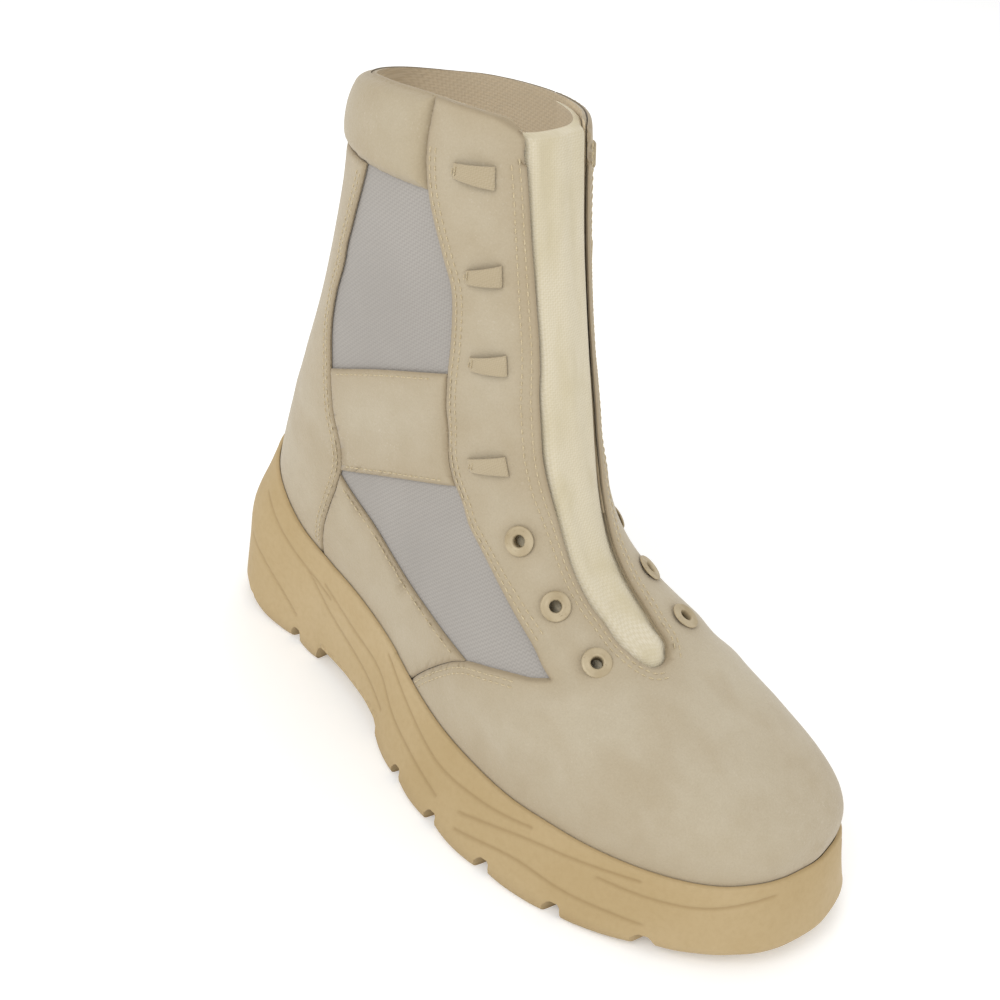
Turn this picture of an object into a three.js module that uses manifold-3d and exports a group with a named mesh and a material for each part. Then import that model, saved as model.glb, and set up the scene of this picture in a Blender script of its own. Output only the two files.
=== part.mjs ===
// A right-foot combat boot, empty and unlaced: a hollow textile upper under leather overlays, a tongue,
// eyelets, lace loops and an insole, on one moulded rubber sole unit. Millimetres. X runs from heel to toe,
// Y to the inner side of the foot and Z up from the floor.
import * as THREE from "three";
import { mergeVertices } from "three/addons/utils/BufferGeometryUtils.js";
import Module from "manifold-3d";

const wasm = await Module();
wasm.setup();

// The last and the shaft
const UPPER_LENGTH = 284;
const BALL_WIDTH = 91.4;
const COLLAR_WIDTH = 74.4;
const INSTEP_HEIGHT = 124; // bend of the instep above the forefoot platform
const SHAFT_HEIGHT = 266; // of the collar's front corners, before the collar leans
const COLLAR_LEAN = 5.5; // degrees, lower on the inner side
const FOREFOOT_THICKNESS = 22.5;
const HEEL_THICKNESS = 34.5;
const TOE_SPRING = 7;

// Walls
const TEXTILE = 1.6;
const LEATHER = 1.6;
const CUFF = 3;
const TONGUE = 3;
const TONGUE_RISE = 2.4; // of the tongue's middle, into the throat
const INSOLE = 4;
const LASTING_MARGIN = 10; // turned under the foot
const FEATHER = 7; // lower edge of the leather above the foot's underside

// Clearances
const FIT = 0.3;
const SEAM = 0.3;

// Throat
const TONGUE_OVERLAP = 9;
const TONGUE_TOP = 262;
const TONGUE_FOOT = 12; // of the tongue past the throat's end

// Eyelets and lace loops
const EYELET_BORE = 4.6;
const EYELET_BARREL = 6;
const EYELET_FLANGE = 11.6;
const EYELET_RIM = 1;
const EYELET_SEAT = 0.6; // of the flange above the leather
const LOOP_WIDE = 8;
const LOOP_NARROW = 5;
const LOOP_RISE = 1.5;
const LOOP_STRAP = 1;

// Sole unit
const RIM_HEIGHT = 86; // behind the heel
const WAIST_LIFT = 10; // under the arch
const SOLE_FLARE = 12.5; // of the wall outside the rim, behind the heel
const LIP = 2.2; // of the rim outside the leather
const EDGE_RADIUS = 4;
const EDGE_INSET = 1.2;
const GROOVE_WIDTH = 6.5;
const GROOVE_DEPTH = 6.5;
const GROOVE_LENGTH = 56;

// Facets round the last
const AROUND = 28;

// Rows of numbers under the names of their columns
const table = (names, rows) =>
  rows.map((row) => Object.fromEntries(names.split(" ").map((name, i) => [name, row[i]])));

// A row for each section of the last from the toe's nose to the instep. The section's plane runs from its
// under point to its top point. under and top are shares of UPPER_LENGTH, spring of TOE_SPRING, heel of the
// heel's extra thickness, up of INSTEP_HEIGHT, half, centre and ridge of BALL_WIDTH; low is where the section
// is widest, as a share of its height, and the last two are the roundness of its under and upper parts, where
// 2 is an ellipse.
const FOOT_SECTIONS = table("under spring heel top up half centre ridge low base crown", [
  [1.005, 2.9, 0, 1.005, 0.19, 0.016, 0.17, 0, 0.5, 2, 2],
  [1.001, 2.3, 0, 1.001, 0.212, 0.08, 0.17, 0, 0.5, 2.2, 2.2],
  [0.993, 1.7, 0, 0.994, 0.254, 0.19, 0.165, 0, 0.46, 2.5, 2.3],
  [0.977, 1.15, 0, 0.977, 0.295, 0.285, 0.15, 0.01, 0.42, 3, 2.3],
  [0.95, 0.75, 0, 0.951, 0.341, 0.358, 0.125, 0.02, 0.38, 3.4, 2.4],
  [0.909, 0.43, 0, 0.908, 0.392, 0.415, 0.095, 0.035, 0.36, 3.8, 2.45],
  [0.855, 0.19, 0, 0.853, 0.442, 0.458, 0.062, 0.055, 0.33, 4.4, 2.5],
  [0.794, 0.05, 0, 0.792, 0.494, 0.488, 0.034, 0.07, 0.31, 4.8, 2.55],
  [0.73, 0, 0, 0.733, 0.545, 0.5, 0.016, 0.08, 0.29, 5, 2.55],
  [0.663, 0, 0, 0.683, 0.598, 0.504, -0.001, 0.078, 0.28, 5, 2.5],
  [0.585, 0, 0.04, 0.636, 0.658, 0.486, -0.006, 0.07, 0.27, 5, 2.4],
  [0.497, 0, 0.167, 0.602, 0.732, 0.451, -0.012, 0.054, 0.27, 4.8, 2.4],
  [0.405, 0, 0.375, 0.58, 0.812, 0.408, -0.004, 0.035, 0.29, 4.4, 2.45],
  [0.314, 0, 0.667, 0.562, 0.896, 0.37, 0.013, 0.02, 0.33, 4, 2.5],
  [0.216, 0, 0.9, 0.547, 0.973, 0.352, 0.032, 0.01, 0.38, 3.4, 2.6],
]);

// A row for each section from the heel seat to the collar and a little past it. rise is the under point's
// share of the height from heel seat to collar, up the top point's share of the height from instep bend to
// collar; half, centre and ridge are shares of COLLAR_WIDTH.
const SHAFT_SECTIONS = table("under rise top up half centre ridge low base crown", [
  [0.12, 0, 0.533, 0.065, 0.412, 0.041, 0.01, 0.43, 3, 2.65],
  [0.042, 0.02, 0.521, 0.156, 0.412, 0.041, 0.01, 0.45, 2.9, 2.7],
  [-0.003, 0.068, 0.509, 0.247, 0.407, 0.041, 0.01, 0.46, 2.8, 2.7],
  [-0.016, 0.147, 0.499, 0.337, 0.407, 0.041, 0, 0.46, 2.6, 2.65],
  [0.013, 0.34, 0.477, 0.51, 0.419, 0.036, 0, 0.47, 2.3, 2.55],
  [0.061, 0.56, 0.454, 0.7, 0.436, 0.031, 0, 0.48, 2.15, 2.5],
  [0.091, 0.76, 0.436, 0.87, 0.447, 0.029, 0, 0.48, 2.1, 2.5],
  [0.096, 0.875, 0.427, 0.96, 0.436, 0.028, 0, 0.48, 2.1, 2.5],
  [0.108, 0.95, 0.42, 1.02, 0.408, 0.028, 0, 0.48, 2.1, 2.6],
  [0.135, 1.02, 0.413, 1.09, 0.37, 0.028, 0, 0.48, 2.1, 2.7],
]);

// Seams seen from the side, down or forwards. x is a share of UPPER_LENGTH and z of SHAFT_HEIGHT.
const FACING_SEAM = table("x z", [
  [0.305, 1.08],
  [0.313, 0.962],
  [0.321, 0.909],
  [0.334, 0.864],
  [0.356, 0.808],
  [0.373, 0.762],
  [0.379, 0.693],
  [0.381, 0.62],
  [0.393, 0.542],
  [0.42, 0.478],
  [0.464, 0.428],
  [0.554, 0.374],
  [0.661, 0.309],
]);
const VAMP_SEAM = table("x z", [
  [0.636, 0.298],
  [0.584, 0.281],
  [0.523, 0.253],
  [0.471, 0.202],
  [0.425, 0.139],
  [0.381, 0.04],
]);
const COUNTER_SEAM = table("x z", [
  [0.21, 0.93],
  [0.207, 0.876],
  [0.185, 0.79],
  [0.161, 0.692],
  [0.15, 0.622],
  [0.158, 0.55],
  [0.171, 0.474],
  [0.189, 0.43],
  [0.197, 0.385],
  [0.192, 0.345],
  [0.178, 0.295],
  [0.163, 0.22],
  [0.156, 0.04],
]);
const CUFF_SEAM = table("x z", [
  [-0.065, 0.874],
  [0.171, 0.882],
  [0.264, 0.886],
  [0.356, 0.892],
]);
const BAND_TOP_SEAM = table("x z", [
  [0.089, 0.506],
  [0.162, 0.541],
  [0.282, 0.599],
  [0.459, 0.67],
]);
const BAND_FOOT_SEAM = table("x z", [
  [0.089, 0.334],
  [0.2, 0.379],
  [0.318, 0.433],
  [0.5, 0.508],
]);
const QUARTER_SEAM = table("x z", [
  [0.11, 0.424],
  [0.201, 0.366],
  [0.261, 0.334],
  [0.34, 0.292],
  [0.415, 0.27],
  [0.529, 0.258],
  [0.664, 0.25],
]);

// The collar's upper edge from the back to its rounded front corner.
const COLLAR_EDGE = table("x z", [
  [-0.116, 0.964],
  [0.1, 0.971],
  [0.2, 0.987],
  [0.3, 0.999],
  [0.38, 1.001],
  [0.406, 0.994],
  [0.42, 0.98],
  [0.441, 0.94],
  [0.602, 0.94],
]);

// The throat's edges from the collar to the vamp: half and centre are shares of COLLAR_WIDTH across the boot.
const THROAT = table("x z half centre", [
  [0.366, 1.06, 0.235, 0.027],
  [0.42, 0.989, 0.222, 0.027],
  [0.444, 0.887, 0.202, 0.027],
  [0.483, 0.728, 0.181, 0.027],
  [0.515, 0.57, 0.188, 0.02],
  [0.572, 0.468, 0.168, 0.013],
  [0.649, 0.381, 0.148, 0.007],
  [0.705, 0.35, 0.128, 0],
  [0.726, 0.342, 0.108, 0],
  [0.74, 0.336, 0.067, 0],
  [0.745, 0.334, 0.027, 0],
]);

// Eyelets of both sides, seen from above. x is a share of UPPER_LENGTH and across one of BALL_WIDTH.
const EYELETS = table("outerX outerAcross innerX innerAcross", [
  [0.694, 0.225, 0.706, 0.095],
  [0.611, 0.228, 0.628, 0.165],
  [0.537, 0.232, 0.545, 0.265],
]);

// The ends of the lace loops nearest the back and the throat, seen from the side.
const LOOPS = table("backX backZ frontX frontZ", [
  [0.437, 0.521, 0.487, 0.541],
  [0.41, 0.67, 0.456, 0.683],
  [0.39, 0.793, 0.429, 0.806],
  [0.357, 0.931, 0.402, 0.934],
]);

// Stations round the sole from the back of the heel to the toe, each used on both sides. spine is the share
// of UPPER_LENGTH where its line starts, turn its angle from the way to the toe, rim a share of RIM_HEIGHT
// and lift of WAIST_LIFT. outer and inner are how far the wall flares below the rim on each side, as shares
// of SOLE_FLARE, and swell is how much of the flare it has halfway up.
const SOLE_STATIONS = table("spine turn rim lift outer inner swell", [
  [0.107, 180, 1, 0.65, 1, 0.88, 0.85],
  [0.107, 157, 0.955, 0.55, 1, 0.8, 0.85],
  [0.107, 135, 0.852, 0.5, 0.76, 0.64, 0.8],
  [0.107, 112, 0.744, 0.15, 0.496, 0.44, 0.65],
  [0.107, 90, 0.668, 0, 0.28, 0.36, 0.5],
  [0.15, 90, 0.616, 0, 0.24, 0.36, 0.45],
  [0.192, 90, 0.587, 0, 0.32, 0.36, 0.45],
  [0.199, 90, 0.584, 0.9, 0.32, 0.32, 0.45],
  [0.274, 90, 0.564, 1, 0.32, 0.24, 0.45],
  [0.336, 90, 0.535, 0.95, 0.36, 0.24, 0.45],
  [0.382, 90, 0.505, 0.8, 0.48, 0.28, 0.45],
  [0.391, 90, 0.494, 0, 0.52, 0.32, 0.45],
  [0.459, 90, 0.43, 0, 0.72, 0.4, 0.45],
  [0.525, 90, 0.39, 0, 0.84, 0.48, 0.45],
  [0.592, 90, 0.372, 0, 0.88, 0.52, 0.45],
  [0.664, 90, 0.372, 0, 0.8, 0.52, 0.45],
  [0.731, 90, 0.378, 0, 0.72, 0.52, 0.45],
  [0.792, 90, 0.39, 0, 0.6, 0.52, 0.45],
  [0.854, 90, 0.401, 0.14, 0.42, 0.52, 0.45],
  [0.874, 72, 0.419, 0.42, 0.28, 0.52, 0.45],
  [0.874, 54, 0.436, 0.62, 0.22, 0.52, 0.45],
  [0.874, 36, 0.454, 0.74, 0.26, 0.52, 0.45],
  [0.874, 18, 0.46, 0.8, 0.4, 0.52, 0.45],
  [0.874, 0, 0.46, 0.8, 0.48, 0.48, 0.45],
]);

// Tread grooves cut in from both sides, as shares of UPPER_LENGTH.
const GROOVES = [0.017, 0.135, 0.475, 0.576, 0.685, 0.793, 0.91];

// The sections in millimetres.
const COLLAR_RISE = SHAFT_HEIGHT - HEEL_THICKNESS;
const INSTEP_LEVEL = FOREFOOT_THICKNESS + INSTEP_HEIGHT;
const inMillimetres = (s, width) => ({
  underX: s.under * UPPER_LENGTH,
  topX: s.top * UPPER_LENGTH,
  halfWidth: s.half * width,
  middle: s.centre * width,
  lean: s.ridge * width,
  low: s.low,
  base: s.base,
  crown: s.crown,
});
const sections = [
  ...FOOT_SECTIONS.map((s) => ({
    ...inMillimetres(s, BALL_WIDTH),
    underZ: FOREFOOT_THICKNESS + s.spring * TOE_SPRING + s.heel * (HEEL_THICKNESS - FOREFOOT_THICKNESS),
    topZ: FOREFOOT_THICKNESS + s.up * INSTEP_HEIGHT,
  })),
  ...SHAFT_SECTIONS.map((s) => ({
    ...inMillimetres(s, COLLAR_WIDTH),
    underZ: HEEL_THICKNESS + s.rise * COLLAR_RISE,
    topZ: INSTEP_LEVEL + s.up * (SHAFT_HEIGHT - INSTEP_LEVEL),
  })),
];
const LAST_SECTION = sections.length - 1;
const inPlane = ({ x, z }) => new THREE.Vector2(x * UPPER_LENGTH, z * SHAFT_HEIGHT);

// Catmull-Rom through the values of one column at row number r.
function column(rows, name, r) {
  const at = (i) => rows[THREE.MathUtils.clamp(i, 0, rows.length - 1)][name];
  const i = Math.min(Math.floor(r), rows.length - 2);
  const [a, b, c, d] = [at(i - 1), at(i), at(i + 1), at(i + 2)];
  const t = r - i;
  return b + 0.5 * t * (c - a + t * (2 * a - 5 * b + 4 * c - d + t * (3 * (b - c) + d - a)));
}

// The last's skin at section v and turn u: 0 is its under or back line, 0.25 the outer side, 0.5 the front.
function skin(v, u) {
  const value = (name) => column(sections, name, v);
  const [cos, sin] = [Math.cos(2 * Math.PI * u), Math.sin(2 * Math.PI * u)];
  const power = 2 / value(cos > 0 ? "base" : "crown");
  const low = value("low");
  const up = cos > 0 ? low * (1 - cos ** power) : low + (1 - low) * (-cos) ** power;
  const side = -Math.sign(sin) * Math.abs(sin) ** power;
  return new THREE.Vector3(
    THREE.MathUtils.lerp(value("underX"), value("topX"), up),
    value("middle") + side * value("halfWidth") + up * up * value("lean"),
    THREE.MathUtils.lerp(value("underZ"), value("topZ"), up),
  );
}

function skinNormal(v, u) {
  const [dv, du] = [0.02, 0.004];
  const along = skin(Math.min(v + dv, LAST_SECTION), u).sub(skin(Math.max(v - dv, 0), u));
  const around = skin(v, u + du).sub(skin(v, u - du));
  return around.cross(along).normalize();
}

function offsetSkin(v, u, offset) {
  return skin(v, u).addScaledVector(skinNormal(v, u), offset);
}

// The section and turn of the skin's outer side where a point's two coordinates, as seen, are the target.
function locate(target, seen) {
  let best = { v: 0, u: 0, distance: Infinity };
  for (let step = 4, [v0, u0] = [LAST_SECTION / 2, 0.375]; step > 0.001; step /= 2) {
    for (let i = -4; i <= 4; i++) {
      for (let j = -4; j <= 4; j++) {
        const v = THREE.MathUtils.clamp(v0 + i * step, 0, LAST_SECTION);
        const u = THREE.MathUtils.clamp(u0 + j * step * 0.02, 0.25, 0.5);
        const distance = seen(skin(v, u)).distanceTo(target);
        if (distance < best.distance) {
          best = { v, u, distance };
        }
      }
    }
    [v0, u0] = [best.v, best.u];
  }
  return best;
}

function solidOfPoints(points, faces) {
  const vertProperties = new Float32Array(points.flatMap((p) => [p.x, p.y, p.z]));
  const make = (triangles) => {
    const triVerts = new Uint32Array(triangles.flat());
    return new wasm.Manifold(new wasm.Mesh({ numProp: 3, vertProperties, triVerts }));
  };
  const solid = make(faces);
  return solid.volume() > 0 ? solid : make(faces.map(([a, b, c]) => [a, c, b]));
}

// A closed solid through rings of points, each end closed by a fan to its middle.
function solidThroughRings(rings) {
  const n = rings[0].length;
  const points = rings.flat();
  const faces = [];
  for (let r = 0; r + 1 < rings.length; r++) {
    for (let i = 0; i < n; i++) {
      const [a, b] = [r * n + i, r * n + ((i + 1) % n)];
      faces.push([a, b, b + n], [a, b + n, a + n]);
    }
  }
  const middle = (ring) => ring.reduce((sum, p) => sum.add(p), new THREE.Vector3()).divideScalar(n);
  const [first, last, end] = [points.length, points.length + 1, (rings.length - 1) * n];
  points.push(middle(rings[0]), middle(rings.at(-1)));
  for (let i = 0; i < n; i++) {
    const next = (i + 1) % n;
    faces.push([first, next, i], [last, end + i, end + next]);
  }
  return solidOfPoints(points, faces);
}

function solidOfGeometry(geometry) {
  const bare = new THREE.BufferGeometry();
  bare.setAttribute("position", geometry.getAttribute("position"));
  bare.setIndex(geometry.getIndex());
  const merged = mergeVertices(bare, 1e-4);
  const corners = merged.getAttribute("position");
  const corner = (_, i) => new THREE.Vector3().fromBufferAttribute(corners, i);
  const points = Array.from({ length: corners.count }, corner);
  const index = Array.from(merged.getIndex().array);
  const faces = index.filter((_, i) => i % 3 === 0).map((_, i) => index.slice(3 * i, 3 * i + 3));
  return solidOfPoints(points, faces.filter(([a, b, c]) => a !== b && b !== c && c !== a));
}

// A prism of a shape drawn in the plane of across and up, from start to end along their common normal.
function prism(outline, across, up, start, end) {
  const normal = new THREE.Vector3().crossVectors(across, up);
  const shape = new THREE.Shape(outline);
  const geometry = new THREE.ExtrudeGeometry(shape, { depth: end - start, bevelEnabled: false });
  const basis = new THREE.Matrix4().makeBasis(across, up, normal);
  geometry.applyMatrix4(basis.setPosition(normal.clone().multiplyScalar(start)));
  return solidOfGeometry(geometry);
}

const X_AXIS = new THREE.Vector3(1, 0, 0);
const Y_AXIS = new THREE.Vector3(0, 1, 0);
const Z_AXIS = new THREE.Vector3(0, 0, 1);
const fromSide = (outline) => prism(outline, X_AXIS, Z_AXIS, -BALL_WIDTH, BALL_WIDTH);

function lastForm(offset, from = 0) {
  const rings = [];
  for (let v = from; v <= LAST_SECTION; v++) {
    rings.push(Array.from({ length: AROUND }, (_, i) => offsetSkin(v, (i + 0.5) / AROUND, offset)));
  }
  return solidThroughRings(rings);
}

// A line moved sideways, to its right where distance is positive.
function moved(line, distance) {
  return line.map((p, i) => {
    const before = p.clone().sub(line[Math.max(i - 1, 0)]).normalize();
    const after = line[Math.min(i + 1, line.length - 1)].clone().sub(p).normalize();
    const along = before.clone().add(after).normalize();
    const miter = Math.max(along.dot(after.lengthSq() > 0 ? after : before), 0.5);
    return new THREE.Vector2(along.y, -along.x).multiplyScalar(distance / miter).add(p);
  });
}

// All that lies on one side of a seam, half the seam's width away: towards is the far edge that closes it.
const [FAR_BACK, FAR_FRONT, FAR_TOP, FAR_FLOOR] = [-150, 450, 400, -100];
const besideSeam = (line, distance, farX) =>
  fromSide([
    ...moved(line, distance),
    new THREE.Vector2(farX, line.at(-1).y),
    new THREE.Vector2(farX, line[0].y),
  ]);
const behind = (seam) => besideSeam(seam, SEAM / 2, FAR_BACK);
const before = (seam) => besideSeam(seam, -SEAM / 2, FAR_FRONT);
const overUnder = (line, distance, farZ) =>
  fromSide([
    new THREE.Vector2(FAR_BACK, farZ),
    new THREE.Vector2(FAR_BACK, line[0].y),
    ...moved(line, distance),
    new THREE.Vector2(FAR_FRONT, line.at(-1).y),
    new THREE.Vector2(FAR_FRONT, farZ),
  ]);
const above = (seam) => overUnder(seam, -SEAM / 2, FAR_TOP);
const below = (seam) => overUnder(seam, SEAM / 2, FAR_FLOOR);

const facingSeam = [...FACING_SEAM, ...VAMP_SEAM].map(inPlane);
const counterSeam = COUNTER_SEAM.map(inPlane);
const cuffSeam = CUFF_SEAM.map(inPlane);
const bandTopSeam = BAND_TOP_SEAM.map(inPlane);
const bandFootSeam = BAND_FOOT_SEAM.map(inPlane);
const quarterSeam = QUARTER_SEAM.map(inPlane);

// The foot's underside from behind the heel to before the toe, raised by a height.
const footLine = sections
  .filter((s, i) => i > 0 && s.underZ < HEEL_THICKNESS + 1)
  .map((s) => new THREE.Vector2(s.underX, s.underZ))
  .reverse();
const raised = (height) => footLine.map((p) => new THREE.Vector2(p.x, p.y + height));
const overFoot = (height) => overUnder(raised(height), 0, FAR_TOP);
const underFoot = (height) => overUnder(raised(height), 0, FAR_FLOOR);

// The collar leans about a line through the heights of its two sides.
const collarLevel = 0.985 * SHAFT_HEIGHT;
const underCollar = overUnder(COLLAR_EDGE.map(inPlane), 0, FAR_FLOOR)
  .translate(0, 0, -collarLevel)
  .rotate(-COLLAR_LEAN, 0, 0)
  .translate(0, 0, collarLevel);

// The throat is drawn from the front and above, at right angles to the bend of the instep.
const BEND_UP = new THREE.Vector3(-1, 0, 1).normalize();
const BEND_OUT = new THREE.Vector3(1, 0, 1).normalize();
const BEND_START = 0.66 * UPPER_LENGTH;
function throatPrism(widen, lengthen) {
  const rows = THROAT.map((row) => {
    const { x, y } = inPlane(row);
    const [centre, half] = [row.centre * COLLAR_WIDTH, row.half * COLLAR_WIDTH + widen];
    return { centre, half, up: new THREE.Vector3(x, 0, y).dot(BEND_UP) };
  });
  rows.slice(-4).forEach((row) => (row.up -= lengthen));
  const edge = (side) => rows.map((r) => new THREE.Vector2(r.centre + side * r.half, r.up));
  return prism([...edge(-1), ...edge(1).reverse()], Y_AXIS, BEND_UP, BEND_START, 2 * UPPER_LENGTH);
}

// Leather outside, as it lies on the textile
const leatherOuter = lastForm(FIT + LEATHER);
const leatherInner = lastForm(FIT);
const throat = throatPrism(0, 0);

function onSkin({ v, u }, inner, offset) {
  const turn = inner ? 1 - u : u;
  return { point: offsetSkin(v, turn, offset), normal: skinNormal(v, turn) };
}

// Barrels and flanges turned about the skin's normal.
function turned(profile, { point, normal }) {
  const geometry = new THREE.LatheGeometry(profile.map(([r, h]) => new THREE.Vector2(r, h)), 10);
  const pose = new THREE.Quaternion().setFromUnitVectors(Y_AXIS, normal);
  geometry.applyMatrix4(new THREE.Matrix4().compose(point, pose, new THREE.Vector3(1, 1, 1)));
  return solidOfGeometry(geometry);
}
const fromAbove = (p) => new THREE.Vector2(p.x, p.y);
const sideways = (p) => new THREE.Vector2(p.x, p.z);
const eyeletSeats = [false, true].flatMap((inner) =>
  EYELETS.map((row, i) => {
    const [x, across] = inner ? [row.innerX, row.innerAcross] : [row.outerX, row.outerAcross];
    const seat = locate(new THREE.Vector2(x * UPPER_LENGTH, -across * BALL_WIDTH), fromAbove);
    return { name: `eyelet_${inner ? "inner" : "outer"}_${i + 1}`, ...onSkin(seat, inner, 0) };
  }),
);
const holeRadius = EYELET_BARREL / 2 + FIT;
const eyeletHoles = eyeletSeats.map((seat) =>
  turned([[0, -12], [holeRadius, -12], [holeRadius, 12], [0, 12]], seat),
);

const leatherShell = leatherOuter
  .subtract(leatherInner)
  .subtract(throat)
  .intersect(overFoot(FEATHER))
  .intersect(underCollar);

const textile = lastForm(0)
  .subtract(lastForm(-TEXTILE))
  .subtract(throat)
  .intersect(underCollar)
  .subtract(lastForm(-LASTING_MARGIN, 3).translate(0, 0, -LASTING_MARGIN - 2));
const upper = eyeletHoles.reduce((solid, hole) => solid.subtract(hole), textile);

const front = leatherShell.intersect(before(facingSeam));
const vampEyestay = eyeletHoles.reduce((solid, hole) => solid.subtract(hole), front);
const side = leatherShell.intersect(behind(facingSeam)).intersect(before(counterSeam));
const ankleBands = side.intersect(below(bandTopSeam)).intersect(above(bandFootSeam)).decompose();
const quarters = side.intersect(below(quarterSeam)).decompose();
const counter = leatherShell.intersect(behind(counterSeam)).intersect(below(cuffSeam));
const cuff = lastForm(FIT + CUFF)
  .subtract(leatherInner)
  .intersect(underCollar)
  .intersect(behind(facingSeam))
  .intersect(above(cuffSeam));

const insole = lastForm(-TEXTILE - FIT)
  .intersect(overFoot(TEXTILE + FIT))
  .intersect(underFoot(TEXTILE + FIT + INSOLE));

const tongueRoom = fromSide([
  new THREE.Vector2(UPPER_LENGTH / 3, 0),
  new THREE.Vector2(UPPER_LENGTH, 0),
  new THREE.Vector2(UPPER_LENGTH, TONGUE_TOP),
  new THREE.Vector2(UPPER_LENGTH / 3, TONGUE_TOP),
]);
const tongueInner = lastForm(-TEXTILE - FIT - TONGUE);
const tongueStrap = lastForm(-TEXTILE - FIT).intersect(throatPrism(TONGUE_OVERLAP, TONGUE_FOOT));
const tongueMiddle = lastForm(TONGUE_RISE - TEXTILE - FIT).intersect(throatPrism(-FIT, -FIT));
const tongue = tongueStrap.add(tongueMiddle).subtract(tongueInner).intersect(tongueRoom);

function loopOn({ backX, backZ, frontX, frontZ }, inner) {
  const back = locate(inPlane({ x: backX, z: backZ }), sideways);
  const front = locate(inPlane({ x: frontX, z: frontZ }), sideways);
  const base = FIT + LEATHER + FIT;
  const rings = [0, 0.16, 0.32, 0.5, 0.68, 0.84, 1].map((t) => {
    const v = THREE.MathUtils.lerp(back.v, front.v, t);
    const u = THREE.MathUtils.lerp(back.u, front.u, t);
    const perRow = skin(v + 0.1, u).distanceTo(skin(v - 0.1, u)) / 0.2;
    const halfRow = THREE.MathUtils.lerp(LOOP_NARROW, LOOP_WIDE, t) / 2 / perRow;
    const arch = LOOP_RISE * Math.sin(Math.PI * t) ** 0.7;
    const corner = (row, height) => offsetSkin(v + row, inner ? 1 - u : u, base + height);
    return [
      corner(-halfRow, arch),
      corner(halfRow, arch),
      corner(halfRow, arch + LOOP_STRAP),
      corner(-halfRow, arch + LOOP_STRAP),
    ];
  });
  return solidThroughRings(rings);
}

const barrelFoot = -TEXTILE + 0.1;
const flangeSeat = FIT + LEATHER + EYELET_SEAT;
const eyeletProfile = [
  [EYELET_BORE / 2, barrelFoot],
  [EYELET_BARREL / 2, barrelFoot],
  [EYELET_BARREL / 2, flangeSeat],
  [EYELET_FLANGE / 2, flangeSeat],
  [EYELET_FLANGE / 2 - 0.5, flangeSeat + EYELET_RIM * 0.8],
  [(EYELET_FLANGE + EYELET_BORE) / 4, flangeSeat + EYELET_RIM],
  [EYELET_BORE / 2, flangeSeat + EYELET_RIM * 0.6],
  [EYELET_BORE / 2, barrelFoot],
];

// How far the leather lies from the spine at a height, cast on the leather's own facets.
const { vertProperties: skinCorners, triVerts: skinFaces } = leatherOuter.getMesh();
const skinGeometry = new THREE.BufferGeometry();
skinGeometry.setAttribute("position", new THREE.BufferAttribute(new Float32Array(skinCorners), 3));
skinGeometry.setIndex(new THREE.BufferAttribute(new Uint32Array(skinFaces), 1));
const skinMesh = new THREE.Mesh(skinGeometry, new THREE.MeshBasicMaterial({ side: THREE.DoubleSide }));

function soleWall(r, sideSign) {
  const value = (name) => column(SOLE_STATIONS, name, r);
  const spine = value("spine") * UPPER_LENGTH;
  const spineY = THREE.MathUtils.lerp(0.041 * COLLAR_WIDTH, 0.076 * BALL_WIDTH, value("spine"));
  const angle = THREE.MathUtils.degToRad(value("turn")) * sideSign;
  const direction = new THREE.Vector3(Math.cos(angle), Math.sin(angle), 0);
  const rim = value("rim") * RIM_HEIGHT;
  const origin = new THREE.Vector3(spine, spineY, rim);
  const [hit] = new THREE.Raycaster(origin, direction).intersectObject(skinMesh);
  const reach = hit.distance + LIP;
  const flare = value(sideSign < 0 ? "outer" : "inner") * SOLE_FLARE;
  const at = (out, z) => new THREE.Vector3(spine, spineY, z).addScaledVector(direction, reach + out);
  const [low, high] = [SOLE_STATIONS[Math.floor(r)], SOLE_STATIONS[Math.ceil(r)]];
  const lift = THREE.MathUtils.lerp(low.lift, high.lift, r % 1) * WAIST_LIFT;
  return [
    at(flare - EDGE_INSET, lift),
    at(flare, lift + EDGE_RADIUS),
    at(flare * value("swell"), THREE.MathUtils.lerp(lift, rim, 0.55)),
    at(0, rim),
  ];
}

// The sole's block: a wall round it and strips across its underside and between its rims.
function soleBlock() {
  const steps = [];
  for (let r = 0; r < SOLE_STATIONS.length - 1; r++) {
    const plain = SOLE_STATIONS[r + 1].spine - SOLE_STATIONS[r].spine < 0.01 && SOLE_STATIONS[r].turn === 90;
    steps.push(r, ...(plain ? [] : [r + 0.5]));
  }
  steps.push(SOLE_STATIONS.length - 1);
  const outer = steps.map((r) => soleWall(r, -1));
  const inner = steps.slice(1, -1).map((r) => soleWall(r, 1)).reverse();
  const loop = [...outer, ...inner];
  const [n, levels] = [loop.length, loop[0].length];
  const points = loop.flat();
  const at = (i, level) => ((i + n) % n) * levels + level;
  const faces = [];
  for (let i = 0; i < n; i++) {
    for (let k = 0; k + 1 < levels; k++) {
      faces.push([at(i, k), at(i + 1, k), at(i + 1, k + 1)], [at(i, k), at(i + 1, k + 1), at(i, k + 1)]);
    }
  }
  for (let i = 0; i < outer.length - 1; i++) {
    const [a, b, c, d] = [i, i + 1, n - i - 1, n - i];
    for (const [level, flip] of [[0, true], [levels - 1, false]]) {
      const quad = [at(a, level), at(b, level), at(c, level), at(d, level)];
      const corners = quad.filter((p, k) => quad.indexOf(p) === k);
      for (let k = 1; k + 1 < corners.length; k++) {
        const [p, q] = flip ? [k + 1, k] : [k, k + 1];
        faces.push([corners[0], corners[p], corners[q]]);
      }
    }
  }
  return solidOfPoints(points, faces);
}

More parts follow.
